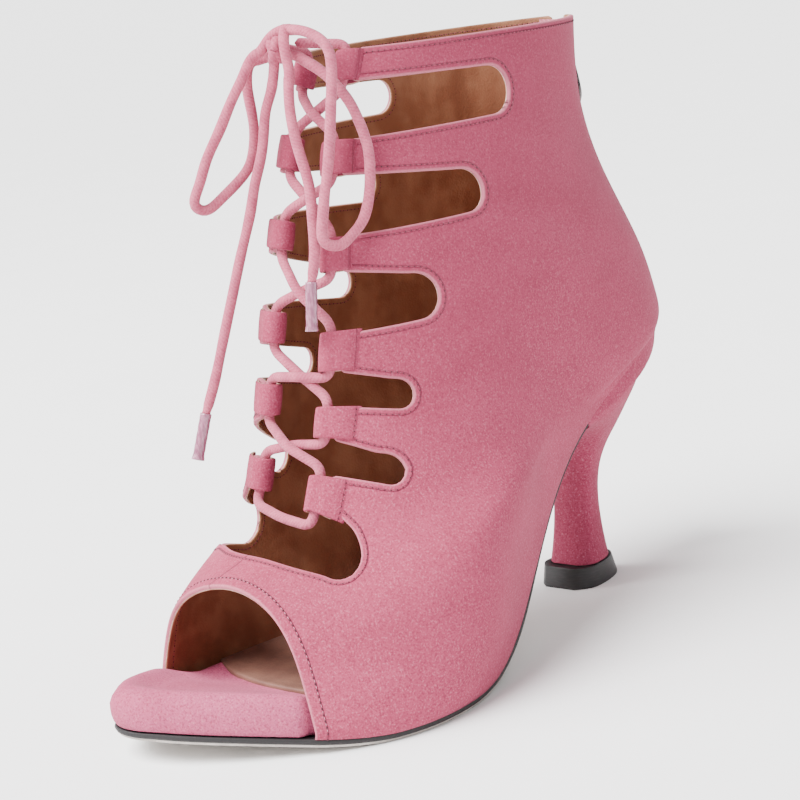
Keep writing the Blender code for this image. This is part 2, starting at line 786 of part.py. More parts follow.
def build_upper(face, outline, parts, cutters, material):
    columns = 48
    grid = last_surface(columns, 18)
    skirt = grid[-1].copy()
    skirt[:, 2] -= 2.0
    grid = np.concatenate([grid, skirt[None]])
    rows = len(grid)
    points = to_world(grid.reshape(-1, 3))
    faces = []
    for row in range(rows - 1):
        for i in range(columns):
            j = (i + 1) % columns
            low = row * columns
            faces.append((low + i, low + columns + i, low + columns + j, low + j))
    upper = mesh_object("upper", points, faces, parts, material)
    shell = upper.modifiers.new("wall", "SOLIDIFY")
    shell.thickness = WALL * MM
    shell.offset = -1.0
    shell.use_even_offset = True

    below = ((-12.0, -30.0), (-12.0, GAP))
    boolean(upper, slab("feather_cut", outline, below, -12.0, 230.0, 44, cutters), "DIFFERENCE")
    boolean(upper, build_toe_cutter(cutters), "DIFFERENCE")

    reach = 6.0
    heights = [row[0] for row in THROAT_EDGE if row[0] > INSTEP_SLOT_ROOF - 10.0]
    heights.append(INSTEP_SLOT_ROOF - 14.0)
    left = [(throat_edge(h, -1.0) - reach, h) for h in heights]
    right = [(throat_edge(h, 1.0) + reach, h) for h in heights]
    throat = prism("throat_cut", left + right[::-1], 1, 95.0, 260.0, cutters)
    boolean(upper, throat, "DIFFERENCE")
    for number, row in enumerate(SLOTS_LATERAL, start=1):
        slot = prism(f"slot_lateral_{number}", slot_outline(row), 0, 1.0, 80.0, cutters)
        boolean(upper, slot, "DIFFERENCE")
    for number, row in enumerate(SLOTS_MEDIAL, start=1):
        slot = prism(f"slot_medial_{number}", slot_outline(row), 0, -80.0, -1.0, cutters)
        boolean(upper, slot, "DIFFERENCE")
    across = instep_outline()
    low = prism("slot_instep", across, 2, INSTEP_SLOT_FLOOR, INSTEP_SLOT_ROOF, cutters)
    boolean(upper, low, "DIFFERENCE")

    half = ZIP_SLIT / 2.0
    slit = ((-half, ZIP_BOTTOM), (half, ZIP_BOTTOM), (half, 220.0), (-half, 220.0))
    boolean(upper, prism("zip_slit", slit, 1, -20.0, 60.0, cutters), "DIFFERENCE")

    folds = []
    bores = []
    for side, level, bottom, top in each_loop():
        sections = loop_sections(face, side, bottom, top, loop_profile())
        folds.append(loft("fold", sections, cutters))
        hole = loop_sections(face, side, bottom - 3.0, top + 3.0, bore_profile(BORE_RADIUS))
        bores.append(loft("bore", hole, cutters))
    boolean(upper, join_bodies("strap_folds", folds, cutters), "UNION", "MANIFOLD")
    boolean(upper, join_bodies("strap_bores", bores, cutters), "DIFFERENCE")
    shade(upper)


# ---------------------------------------------------------------- zip

def back_line(rows=120):
    """The back seam of the last, collar to feather edge: ahead, height."""
    return last_surface(48, rows)[:, 0, 1:]


def back_frame(height):
    """Point and outward direction of the back seam at a height."""
    line = back_line()[::-1]
    ahead = np.interp(height, line[:, 1], line[:, 0])
    lean = (np.interp(height + 1, line[:, 1], line[:, 0])
            - np.interp(height - 1, line[:, 1], line[:, 0])) / 2.0
    length = math.hypot(1.0, lean)
    return np.array([0.0, ahead, height]), np.array([0.0, -1.0 / length, lean / length])


def back_strip(name, width, inner, outer, bottom, top, count, parts, material, bow=0.0):
    """A strip along the back seam between two distances outward of the last's face.

    Its two edges lie deeper than its middle by the bow.
    """
    half = width / 2.0
    low = [(-half, inner - bow), (0.0, inner), (half, inner - bow)]
    high = [(half, outer - bow), (0.0, outer), (-half, outer - bow)]
    sections = []
    for height in np.linspace(bottom, top, count):
        point, out = back_frame(height)
        ring = [point + reach * out + np.array([across, 0.0, 0.0]) for across, reach in low + high]
        sections.append(to_world(ring))
    return loft(name, sections, parts, material)


def build_zip(parts, tape, metal):
    deep = -2.0 * GAP
    body = back_strip(
        "zip_tape", TAPE_WIDTH, deep - TAPE_THICK, deep, ZIP_BOTTOM - 6.0, 176.5, 12, parts, tape,
        TAPE_BOW
    )
    shade(body)
    body = back_strip(
        "zip_teeth", TEETH_WIDTH, deep + GAP, WALL - 0.2, ZIP_BOTTOM + 0.6, SLIDER_BOTTOM - GAP, 14,
        parts, metal
    )
    shade(body)
    body = back_strip(
        "zip_slider", TEETH_WIDTH, deep + GAP, SLIDER_RISE, SLIDER_BOTTOM, SLIDER_TOP, 3, parts, metal
    )
    shade(body)


def build_pull(parts, metal):
    """The zip's pull tab: a long drop-shaped plate, hung from the slider."""
    point, out = back_frame(PULL_HINGE)
    half = PULL_THICK / 2.0
    hinge = to_world([point + (SLIDER_RISE / -out[1] + GAP + half) * np.array([0.0, -1.0, 0.0])])[0]
    sections = []
    for below, width in PULL_ROWS:
        ring = [(-width, -half), (width, -half), (width, half), (-width, half)]
        sections.append([(x * MM, y * MM, -below * MM) for x, y in ring])
    pull = loft("zip_pull", sections, parts, metal)
    pull.location = hinge
    shade(pull)


# ---------------------------------------------------------------- lace

def world_mm(points):
    return np.asarray(points, float) * MM


def rounded_route(points, spacing, softness):
    """Points of a line through the given points, with its corners rounded off."""
    points = np.asarray(points, float)
    knots = chord_knots(points)
    at = np.linspace(0.0, knots[-1], round(knots[-1] / spacing) + 1)
    reach = softness * np.clip(np.minimum(at, knots[-1] - at) / softness, 0.0, 1.0)
    line = np.zeros((len(at), 3))
    shares = np.linspace(-1.0, 1.0, 9)
    for share in shares:
        for axis in range(3):
            line[:, axis] += np.interp(at + share * reach, knots, points[:, axis]) / len(shares)
    return line


def lace_path(face):
    """The lace's way down from the knot through the loops, one path from each side."""
    centre = LOOP_RADIUS + 0.2
    ends = {}
    for side, level, bottom, top in each_loop():
        for place, height in (("low", bottom - BEND_GAP), ("high", top + BEND_GAP)):
            edge = throat_edge(height, side)
            ends[side, level, place] = face.walk(edge, side, height, centre, LOOP_RISE)
    levels = len(LOOPS_LATERAL)

    def crossing(level):
        corners = [ends[s, level, "low"] for s in (1.0, -1.0)]
        corners += [ends[s, level + 1, "high"] for s in (1.0, -1.0)]
        return np.mean(corners, axis=0) + np.array([0.0, 1.6, 0.4])

    def run(side, start):
        path = [start]
        for level in range(1, levels + 1):
            path += [ends[side, level, "high"], ends[side, level, "low"]]
            if level < levels:
                path.append(crossing(level))
                side = -side
        return path, side

    first, last_side = run(-1.0, LACE_STARTS[0])
    second, _ = run(1.0, LACE_STARTS[1])
    near = ends[last_side, levels, "low"]
    far = ends[-last_side, levels, "low"]
    far_top = ends[-last_side, levels, "high"]
    bar = [near + LACE_DROP, (near + far) / 2.0 + 1.4 * LACE_DROP, far + LACE_DROP]
    first += [*bar, far, (far + far_top) / 2.0]
    second[-1] = 0.62 * far + 0.38 * far_top
    return first, second


def build_lace(face, parts, cutters, lace, tip):
    first, second = lace_path(face)
    tubes = []
    for name, path, collection in (
        ("lace_crossings", first, parts), ("lace_return", second, cutters),
    ):
        route = to_world(rounded_route(path, 4.0, 3.0))
        material = lace if collection is parts else None
        tubes.append(tube_object(name, route, LACE_RADIUS, collection, material))
    boolean(tubes[0], tubes[1], "UNION")
    shade(tubes[0])

    bpy.ops.mesh.primitive_uv_sphere_add(segments=12, ring_count=8, radius=MM)
    knot = bpy.context.object
    knot.name = "lace_knot"
    for vertex in knot.data.vertices:
        for axis in range(3):
            vertex.co[axis] *= KNOT_RADII[axis]
    knot.location = world_mm([KNOT])[0]
    for owner in list(knot.users_collection):
        owner.objects.unlink(knot)
    parts.objects.link(knot)
    knot.data.materials.append(lace)
    shade(knot)

    for name, route, radius, material in (
        ("bow_loop_left", BOW_LEFT, LACE_RADIUS, lace),
        ("bow_loop_right", BOW_RIGHT, LACE_RADIUS, lace),
        ("lace_end_left", END_LEFT, LACE_RADIUS, lace),
        ("lace_end_right", END_RIGHT, LACE_RADIUS, lace),
        ("lace_tip_left", TIP_LEFT, TIP_RADIUS, tip),
        ("lace_tip_right", TIP_RIGHT, TIP_RADIUS, tip),
    ):
        points = world_mm(smooth_route(route, 6.0))
        shade(tube_object(name, points, radius, parts, material))


def main():
    clear_scene()
    parts = make_collection("lace_up_bootie")
    cutters = make_collection("cutters")
    materials = {name: make_material(name) for name in MATERIALS}
    outline = Outline()
    face = FrontFace()
    build_outsole(outline, parts, materials["black_sole"])
    build_footbed(outline, parts, materials["pink_suede"])
    build_sock(outline, parts, materials["beige_lining"])
    build_heel(outline, parts, cutters, materials["pink_suede"], materials["black_rubber"])
    build_upper(face, outline, parts, cutters, materials["pink_suede"])
    build_zip(parts, materials["pink_tape"], materials["dark_metal"])
    build_pull(parts, materials["dark_metal"])
    build_lace(face, parts, cutters, materials["pink_lace"], materials["clear_tip"])


main()
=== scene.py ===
"""Peep-toe lace-up ankle bootie in pink suede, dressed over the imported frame.

World frame: +X lateral side of the left foot, -Y toe, +Z up, metres. Lengths in the tables are
millimetres. "Ahead" is the distance in front of the heel's back.
"""

import math

import bmesh
import bpy
import numpy as np
from mathutils import Matrix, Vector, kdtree


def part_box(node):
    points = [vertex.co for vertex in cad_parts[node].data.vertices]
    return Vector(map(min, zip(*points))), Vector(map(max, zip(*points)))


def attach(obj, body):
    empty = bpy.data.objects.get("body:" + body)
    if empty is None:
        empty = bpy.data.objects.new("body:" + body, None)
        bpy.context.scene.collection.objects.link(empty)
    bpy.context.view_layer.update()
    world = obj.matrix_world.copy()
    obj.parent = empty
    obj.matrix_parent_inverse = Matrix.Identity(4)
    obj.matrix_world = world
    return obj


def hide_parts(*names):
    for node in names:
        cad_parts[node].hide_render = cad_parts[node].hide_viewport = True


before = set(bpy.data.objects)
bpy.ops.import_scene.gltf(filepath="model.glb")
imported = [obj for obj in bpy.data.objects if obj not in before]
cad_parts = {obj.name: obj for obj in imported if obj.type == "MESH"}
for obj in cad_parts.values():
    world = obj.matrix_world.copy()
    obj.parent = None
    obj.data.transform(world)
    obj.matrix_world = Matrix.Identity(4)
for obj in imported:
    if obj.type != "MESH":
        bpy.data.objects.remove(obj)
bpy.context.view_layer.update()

MM = 0.001

# ------------------------------------------------------------------ sizes of the last
LENGTH = 216.0
BALL_WIDTH = 88.0
SHAFT_TOP = 178.0
REST_SPOT = 160.0
WALL = 1.8
OUTSOLE = 2.3
OUTSOLE_EDGE = 0.8
FOOTBED = 7.3
BED_DISH = 0.9
RIM_SWELL = 1.0
SOCK_END = 181.0
GAP = 0.3
CORD = 1.5
# Points nearer than this are one.
MERGE = 0.002 * MM
# Distance given to pieces that have no cut edge, toe edge or seam.
FAR = 20.0
# What the suede's points carry: distance to the cut edge, to the toe edge and to the seam.
FIELDS = ("edge", "toe", "seam")

# back, front: percent of LENGTH; heights: percent of SHAFT_TOP; front_x: percent of BALL_WIDTH.
RING_ENDS = (
    # row             back  back_z  front  front_z front_x
    ("collar",         9.1, 100.0,  57.6, 100.6,   0.0),
    ("ankle",         10.7,  87.1,  62.3,  88.8,   0.0),
    ("shaft",          7.6,  72.5,  67.0,  74.2,   0.0),
    ("instep",         2.7,  58.6,  70.5,  59.6,   0.0),
    ("throat_mid",     0.9,  51.5,  72.9,  46.1,   0.0),
    ("throat_low",     0.5,  49.6,  75.5,  33.7,   0.0),
    ("throat_end",     0.3,  48.3,  79.9,  26.1,   1.1),
    ("vamp",           0.3,  47.0,  86.3,  22.5,   1.1),
    ("toe_box",        0.4,  45.7,  94.0,  15.2,  -6.8),
    ("feather",        0.3,  44.3, 100.0,   4.8, -22.7),
)
STATIONS = (0.07, 0.25, 0.50, 0.75, 0.93)
# Half-widths at the stations, percent of BALL_WIDTH.
LATERAL = (
    ("collar",        10.9,  22.8,  27.6,  23.6,  13.9),
    ("ankle",         13.2,  24.4,  29.6,  25.6,  15.1),
    ("shaft",         15.5,  27.8,  34.0,  30.7,  17.2),
    ("instep",        19.8,  32.0,  37.4,  35.2,  20.6),
    ("throat_mid",    21.2,  33.4,  37.8,  38.2,  24.1),
    ("throat_low",    21.9,  33.4,  38.2,  43.2,  29.1),
    ("throat_end",    22.3,  33.1,  39.2,  50.7,  33.0),
    ("vamp",          22.2,  32.3,  40.6,  55.5,  35.0),
    ("toe_box",       21.8,  31.3,  41.4,  57.3,  31.8),
    ("feather",       22.1,  29.8,  39.8,  53.4,  23.3),
)
MEDIAL = (
    ("collar",        11.1,  22.8,  27.5,  23.6,  13.6),
    ("ankle",         12.8,  24.4,  29.6,  25.6,  15.0),
    ("shaft",         15.3,  27.8,  34.0,  30.7,  17.4),
    ("instep",        19.8,  32.0,  36.6,  34.1,  20.6),
    ("throat_mid",    21.4,  33.4,  36.6,  36.4,  23.6),
    ("throat_low",    22.3,  33.2,  36.5,  38.7,  26.6),
    ("throat_end",    22.7,  32.5,  35.8,  39.8,  28.4),
    ("vamp",          22.6,  31.8,  35.6,  41.2,  30.8),
    ("toe_box",       22.2,  31.1,  35.2,  41.4,  31.2),
    ("feather",       22.5,  30.0,  34.1,  40.5,  34.6),
)
# Rise of the ring above the straight line from back to front, percent of SHAFT_TOP.
LATERAL_LIFT = (
    ("throat_mid",     0.0,  -0.9,  -1.1,  -0.6,  -0.2),
    ("throat_low",     0.0,  -1.0,  -1.2,  -0.6,  -0.2),
    ("throat_end",     0.0,  -1.0,  -1.2,  -1.4,  -1.6),
    ("vamp",           0.2,  -0.9,  -1.9,  -3.9,  -3.8),
    ("toe_box",        0.7,   0.3,  -6.4, -11.8,  -7.4),
)
MEDIAL_LIFT = (
    ("throat_mid",     0.0,  -0.9,  -1.1,  -0.6,  -0.2),
    ("throat_low",     0.0,  -1.0,  -1.2,  -0.6,  -0.2),
    ("throat_end",     0.0,  -1.0,  -1.2,  -1.4,  -1.6),
    ("vamp",           0.2,  -0.9,  -1.9,  -3.9,  -3.3),
    ("toe_box",        0.7,   0.3,  -6.4, -11.0,  -4.3),
)
SOLE_LINE = (
    # ahead  height of the outsole's top and the heel's seat
    (0.6, 78.6), (16.0, 76.1), (36.0, 71.2), (52.0, 63.8), (65.0, 55.9), (80.0, 43.2),
    (94.0, 28.8), (108.0, 15.4), (122.0, 6.8), (136.0, 2.9), (148.0, 2.2), (172.0, 2.2),
    (186.0, 3.6), (200.0, 6.3), (216.0, 9.3),
)

# ------------------------------------------------------------------ cuts in the upper
TOE_OPENING = 188.3
TOE_OPENING_TURN = 0.07
TOE_OPENING_LEAN = 0.08
THROAT_EDGE = (
    # height  medial fold  lateral fold, across the shoe
    (200.0, -5.0, 4.0), (177.0, -4.0, 4.8), (152.0, -2.0, 5.8), (130.0, -0.5, 8.2),
    (105.0, -1.8, 10.2), (87.0, -3.0, 10.2), (66.0, -6.6, 9.4), (40.0, -8.0, 9.0),
)
THROAT_REACH = 6.0
THROAT_FLOOR = 56.0
SLOTS_LATERAL = (
    # rear  top_rear  bottom_rear  front  top_front  bottom_front  run past the front
    (78.3, 169.4, 155.6, 132.0, 171.3, 155.6, 45.0),
    (98.0, 142.8, 130.6, 141.0, 146.9, 130.1, 45.0),
    (121.3, 117.6, 104.7, 148.0, 121.8, 104.2, 45.0),
    (135.4, 90.4, 82.0, 153.0, 95.2, 85.2, 45.0),
    (144.3, 71.6, 62.8, 158.0, 77.8, 67.0, 45.0),
)
SLOTS_MEDIAL = (
    (72.0, 166.5, 156.3, 128.0, 169.3, 157.5, 45.0),
    (79.5, 141.0, 130.6, 137.0, 147.6, 135.4, 45.0),
    (92.5, 113.0, 103.4, 145.0, 126.6, 111.2, 45.0),
    (113.0, 92.4, 83.2, 152.0, 101.6, 91.6, 45.0),
    (126.5, 67.0, 57.2, 158.0, 81.8, 70.9, 45.0),
    (139.4, 51.4, 38.8, 156.0, 57.4, 42.2, 5.0),
)
INSTEP_SLOT = (
    # across  rear_edge  front_edge
    (-26.0, 156.0, 164.4), (-16.0, 158.4, 170.4), (-6.0, 161.6, 173.9), (4.0, 163.4, 175.0),
    (14.0, 162.0, 174.6), (24.0, 160.6, 172.2),
)
INSTEP_SLOT_FLOOR = 38.0
INSTEP_SLOT_ROOF = 70.0
LOOPS_LATERAL = (
    # bottom  top
    (170.3, 179.0), (146.0, 154.9), (120.6, 129.4), (94.2, 104.7), (76.7, 85.0), (57.2, 66.8),
)
# How far behind the fold each outer loop is sewn down.
LOOP_SEAMS = (6.6, 8.8, 8.0, 10.2, 11.4, 11.2)
# How the top and bottom edge of each outer loop run down towards its strap, per millimetre.
LOOP_SLOPES = (
    (-0.05, 0.0), (0.0, 0.0), (0.0, 0.0), (0.0, -0.04), (-0.1, -0.16), (-0.22, -0.36),
)
LOOPS_MEDIAL = (
    (169.9, 177.3), (148.2, 156.9), (127.2, 134.8), (102.2, 110.6), (82.4, 91.0), (61.4, 70.3),
)
LOOP_RADIUS = 3.2
LOOP_RISE = 0.5
LOOP_SEAM = 11.4
LOOP_THICK = 1.0
LOOP_CENTRE = LOOP_RADIUS + 0.2
BEND_GAP = 1.8

# ------------------------------------------------------------------ stitches
PITCH = 1.7
EDGE_STITCH = 1.7
TOE_STITCH = 3.3
STITCH_SINK = 0.06
# A row along the throat is left out this near the fold, where the loops are sewn instead.
LOOP_ZONE = (-20.0, 9.8)

# ------------------------------------------------------------------ heel, zip and lace
HEEL_SEAT_EDGE = 0.7
OUTSOLE_START = 60.8
HEEL_ROWS = (
    # back  back_z  front  front_z  half_width  seat_share
    (27.9, 6.9, 46.0, 6.9, 9.0, 0.0),
    (28.6, 13.5, 44.8, 13.5, 7.9, 0.0),
    (29.1, 21.5, 43.4, 21.5, 7.2, 0.0),
    (28.9, 29.0, 42.4, 29.0, 7.2, 0.0),
    (27.3, 36.0, 42.0, 36.4, 8.0, 0.0),
    (23.9, 42.8, 42.6, 43.6, 10.2, 0.06),
    (18.9, 49.8, 45.4, 49.0, 13.4, 0.22),
    (13.0, 58.2, 51.4, 52.8, 16.8, 0.4),
    (7.4, 67.4, 57.4, 55.2, 19.4, 0.64),
    (3.6, 73.9, 60.4, 56.4, 20.6, 0.8),
    (-0.7, 78.6, 62.9, 57.4, 24.0, 1.0),
    (-0.7, 92.0, 65.4, 76.0, 24.0, 1.0),
)
HEEL_TIP_ROWS = (
    (24.9, 0.0, 49.8, 0.0, 10.3, 0.0),
    (24.5, 0.4, 50.2, 0.4, 10.6, 0.0),
    (25.3, 3.0, 49.8, 3.0, 10.3, 0.0),
    (26.3, 6.2, 49.2, 6.2, 10.0, 0.0),
    (26.7, 6.6, 48.9, 6.6, 9.8, 0.0),
)
ZIP_BOTTOM = 96.0
ZIP_SLIT = 5.6
TAPE_TOP = 176.5
TAPE_HALF = 4.8
TAPE_THICK = 0.8
TAPE_BOW = 2.0
ZIP_TEETH = 62
SLIDER_BOTTOM = 165.5
SLIDER_TOP = 173.5

LACE_STARTS = (np.array([-6.2, 132.2, 181.6]), np.array([-2.4, 132.2, 182.9]))
LACE_DROP = np.array([0.0, 1.6, -1.6])
# Free lace: across, world Y, height.
KNOT = np.array([-5.1, 23.0, 181.7])
KNOT_TURNS = (
    # radius  height  tilt  thickness
    (2.5, 3.3, 0.3, 1.6), (2.4, 2.9, -0.5, 1.5),
)
KNOT_STRANDS = {
    "fall": (
        (-5.5, 26.0, 184.0), (-3.6, 25.4, 186.6), (-1.4, 23.6, 186.9), (0.2, 21.4, 184.6),
        (1.2, 20.4, 180.6), (2.0, 20.0, 175.5), (2.5, 18.5, 171.0),
    ),
    "waist": (
        (-13.0, 20.5, 179.0), (-11.0, 22.0, 179.5), (-9.0, 22.8, 179.9), (-6.5, 23.4, 180.4),
        (-3.0, 24.6, 180.2), (0.6, 25.2, 179.4), (3.0, 25.5, 178.0),
    ),
    "over": (
        (-9.0, 17.5, 180.5), (-7.5, 19.5, 182.0), (-6.2, 21.0, 184.2), (-4.2, 22.6, 186.2),
        (-1.4, 23.8, 187.0), (1.8, 23.8, 186.9),
    ),
    "drop": ((-6.0, 20.0, 171.2), (-5.5, 21.0, 174.6), (-5.2, 21.6, 177.6), (-4.6, 22.2, 181.0)),
}
BOW_LEFT = (
    (-7.5, 19.5, 182.0), (-9.0, 17.5, 180.5), (-10.5, 14.5, 176.0), (-13.0, 11.5, 170.0),
    (-16.0, 7.5, 161.5), (-19.0, 4.0, 154.0), (-21.0, 1.5, 147.0), (-22.0, 0.5, 142.0),
    (-21.5, 2.5, 140.5), (-19.5, 7.5, 142.5), (-17.0, 12.5, 146.5), (-15.0, 16.0, 150.5),
    (-14.5, 18.5, 156.0), (-14.5, 19.5, 163.0), (-15.0, 19.5, 170.0), (-14.5, 19.5, 175.5),
    (-13.0, 20.5, 179.0), (-11.0, 22.0, 179.5),
)
BOW_RIGHT = (
    (-1.0, 24.0, 186.8), (4.5, 23.5, 186.5), (10.0, 24.0, 184.5), (14.0, 24.0, 181.0),
    (15.5, 23.0, 175.5), (16.0, 21.0, 168.0), (16.0, 19.0, 159.5), (16.0, 16.5, 150.5),
    (16.0, 13.5, 142.0), (16.0, 11.5, 135.5), (16.5, 11.0, 130.0), (18.0, 14.5, 128.5),
    (19.0, 19.0, 130.5), (20.0, 22.5, 133.5), (21.0, 25.0, 139.0), (21.0, 27.0, 146.0),
    (20.0, 28.5, 153.0), (17.5, 29.0, 160.0), (15.0, 28.5, 166.0), (12.0, 27.5, 170.5),
    (7.5, 26.5, 175.0), (3.0, 25.5, 178.0), (0.6, 25.2, 179.4),
)
END_RIGHT = (
    (2.0, 20.0, 175.5), (2.5, 18.5, 171.0), (3.5, 17.0, 165.0), (5.0, 16.0, 159.0),
    (7.0, 15.5, 152.0), (9.0, 15.0, 145.5), (10.5, 13.5, 139.0), (11.5, 12.0, 132.0),
    (12.5, 10.0, 125.5), (12.5, 8.0, 120.0),
)
END_LEFT = (
    (-5.5, 21.0, 174.6), (-6.0, 20.0, 171.0), (-7.0, 18.0, 166.0), (-7.5, 16.5, 160.0),
    (-8.0, 14.5, 153.0), (-9.5, 12.5, 146.5), (-11.0, 11.0, 139.5), (-12.5, 9.0, 132.5),
    (-13.5, 6.5, 126.0), (-14.5, 4.0, 119.0), (-15.5, 1.5, 112.0), (-17.0, -1.5, 103.0),
    (-18.5, -4.5, 94.0), (-20.0, -8.0, 85.5),
)
TIP_RIGHT = ((12.5, 7.7, 119.6), (12.8, 6.3, 113.0), (13.0, 5.0, 106.5))
TIP_LEFT = ((-20.1, -8.3, 84.9), (-20.8, -10.4, 78.7), (-21.5, -12.5, 72.5))

# Soft folds pressed into the suede: side, ahead, height, half-length, half-width, degrees from
# the shoe's length, depth (a ridge where it is negative).
CREASES = (
    (1, 64.0, 118.0, 34.0, 6.0, 38.0, 0.55),
    (1, 52.0, 104.0, 30.0, 7.0, 34.0, -0.5),
    (1, 92.0, 92.0, 26.0, 5.0, 48.0, 0.4),
    (1, 46.0, 150.0, 22.0, 6.0, 62.0, 0.4),
    (1, 112.0, 60.0, 30.0, 9.0, 52.0, -0.45),
    (1, 148.0, 30.0, 18.0, 6.0, 70.0, 0.35),
    (1, 126.0, 44.0, 20.0, 7.0, 40.0, 0.35),
    (-1, 64.0, 112.0, 32.0, 7.0, 36.0, 0.5),
    (-1, 92.0, 76.0, 30.0, 8.0, 46.0, -0.45),
    (-1, 116.0, 44.0, 22.0, 6.0, 58.0, 0.4),
    (-1, 48.0, 146.0, 22.0, 6.0, 64.0, 0.4),
    (-1, 148.0, 26.0, 18.0, 6.0, 72.0, 0.3),
)


# ------------------------------------------------------------------ curves and the last

def spline(knots, values, at, closed=False):
    """Natural or closed cubic curve through values at knots, read at the given places."""
    knots = np.asarray(knots, float)
    values = np.asarray(values, float)
    shape = values.shape[1:]
    values = values.reshape(len(values), -1)
    step = np.diff(knots)
    count = len(step) if closed else len(knots)
    matrix = np.zeros((count, count))
    right = np.zeros((count, values.shape[1]))
    rows = range(count) if closed else range(1, count - 1)
    if not closed:
        matrix[0, 0] = 1.0
        matrix[-1, -1] = 1.0
    for i in rows:
        before = step[i - 1]
        after = step[i]
        following = (i + 1) % count if closed else i + 1
        matrix[i, i - 1] += before
        matrix[i, i] += 2.0 * (before + after)
        matrix[i, following] += after
        rise_after = (values[following] - values[i]) / after
        rise_before = (values[i] - values[i - 1 if i else count - 1]) / before
        right[i] = 6.0 * (rise_after - rise_before)
    bend = np.linalg.solve(matrix, right)
    if closed:
        bend = np.concatenate([bend, bend[:1]])
        values = np.concatenate([values[:count], values[:1]])
    at = np.asarray(at, float)
    i = np.clip(np.searchsorted(knots, at, side="right") - 1, 0, len(knots) - 2)
    width = (knots[i + 1] - knots[i])[:, None]
    low = (knots[i + 1] - at)[:, None] / width
    high = (at - knots[i])[:, None] / width
    curve = low * values[i] + high * values[i + 1]
    curve += ((low**3 - low) * bend[i] + (high**3 - high) * bend[i + 1]) * width**2 / 6.0
    return curve.reshape((-1, *shape))


def chord_knots(points):
    steps = np.linalg.norm(np.diff(points, axis=0), axis=1)
    return np.concatenate([[0.0], np.cumsum(steps)])


def smooth_route(points, spacing):
    """Points of a smooth curve through the route's own points."""
    points = np.asarray(points, float)
    knots = chord_knots(points)
    count = max(2, round(knots[-1] / spacing))
    return spline(knots, points, np.linspace(0.0, knots[-1], count + 1))


def unit(vectors):
    length = np.linalg.norm(vectors, axis=-1, keepdims=True)
    return vectors / np.maximum(length, 1e-12)


def ease(value):
    """0 to 1 with soft ends."""
    value = np.clip(value, 0.0, 1.0)
    return value * value * (3.0 - 2.0 * value)


def sole_top(ahead):
    line = np.array(SOLE_LINE)
    ahead = np.atleast_1d(np.asarray(ahead, float))
    inside = np.clip(ahead, line[0, 0], line[-1, 0])
    height = spline(line[:, 0], line[:, 1:], inside)[:, 0]
    return np.maximum(height, OUTSOLE)


def ring_points(row, count):
    """A ring of the last as count points; the first is at the back."""
    name, back, back_z, front, front_z, front_x = RING_ENDS[row]
    start = np.array([0.0, back / 100 * LENGTH, back_z / 100 * SHAFT_TOP])
    end = np.array([front_x / 100 * BALL_WIDTH, front / 100 * LENGTH, front_z / 100 * SHAFT_TOP])
    sides = []
    for sign, table, lifts in ((1.0, LATERAL, LATERAL_LIFT), (-1.0, MEDIAL, MEDIAL_LIFT)):
        lift = dict((entry[0], entry[1:]) for entry in lifts).get(name, (0.0,) * len(STATIONS))
        points = []
        for share, width, rise in zip(STATIONS, table[row][1:], lift):
            point = start + share * (end - start)
            point[0] = sign * width / 100 * BALL_WIDTH
            point[2] += rise / 100 * SHAFT_TOP
            points.append(point)
        sides.append(points)
    controls = np.array([start, *sides[0], end, *sides[1][::-1]])
    if name == "feather":
        controls[:, 2] = sole_top(controls[:, 1])
    closed = np.concatenate([controls, controls[:1]])
    knots = chord_knots(closed)
    place = np.arange(count) * len(controls) / count
    whole = np.floor(place).astype(int)
    at = knots[whole] + (place - whole) * (knots[whole + 1] - knots[whole])
    points = spline(knots, closed, at, closed=True)
    if name == "feather":
        points[:, 2] = sole_top(points[:, 1])
    return points


def last_surface(columns, rows):
    """The upper's outer face: a grid of points from collar to feather edge."""
    rings = np.array([ring_points(row, columns) for row in range(len(RING_ENDS))])
    steps = np.linalg.norm(np.diff(rings, axis=0), axis=2).mean(axis=1)
    knots = np.concatenate([[0.0], np.cumsum(steps)])
    return spline(knots, rings, np.linspace(0.0, knots[-1], rows))


class FrontFace:
    """The instep as a height field: how far ahead the last reaches at (across, height)."""

    def __init__(self):
        grid = last_surface(240, 220)
        self.columns = [grid[::-1, column] for column in range(50, 191)]

    def ahead(self, across, height):
        x = [np.interp(height, column[:, 2], column[:, 0]) for column in self.columns]
        q = [np.interp(height, column[:, 2], column[:, 1]) for column in self.columns]
        order = np.argsort(x)
        return np.interp(across, np.array(x)[order], np.array(q)[order])

    def strip(self, side, height):
        """A level line from the throat's edge: distances, points and outward directions."""
        edge = throat_edge(height, side)
        across = edge + side * np.linspace(-4.0, 24.0, 57)
        ahead = self.ahead(across, height)
        fall = (self.ahead(across, height + 1.0) - self.ahead(across, height - 1.0)) / 2.0
        slope = np.gradient(ahead, across)
        travelled = chord_knots(np.stack([across, ahead], axis=1))
        travelled -= np.interp(0.0, side * (across - edge), travelled)
        points = np.stack([across, ahead, np.full_like(across, height)], axis=1)
        outward = unit(np.stack([-slope, np.ones_like(slope), -fall], axis=1))
        return travelled, points, outward

    def walk(self, side, height, reach, rise):
        """Points at distances from the throat's edge, risen off the face."""
        travelled, points, outward = self.strip(side, height)
        reach = np.atleast_1d(reach)
        place = np.stack([np.interp(reach, travelled, points[:, k]) for k in range(3)], axis=1)
        lift = np.stack([np.interp(reach, travelled, outward[:, k]) for k in range(3)], axis=1)
        return place + np.atleast_1d(rise)[:, None] * unit(lift)


def throat_edge(height, side):
    table = np.array(THROAT_EDGE[::-1])
    return np.interp(height, table[:, 0], table[:, 2 if side > 0 else 1])


def two_sides(ring):
    """A closed outline as its two sides, each from the back to the tip."""
    ring = np.roll(ring, -ring[:, 1].argmin(), axis=0)
    high = ring[:, 1].argmax()
    return ring[: high + 1], np.concatenate([ring[high:], ring[:1]])[::-1]


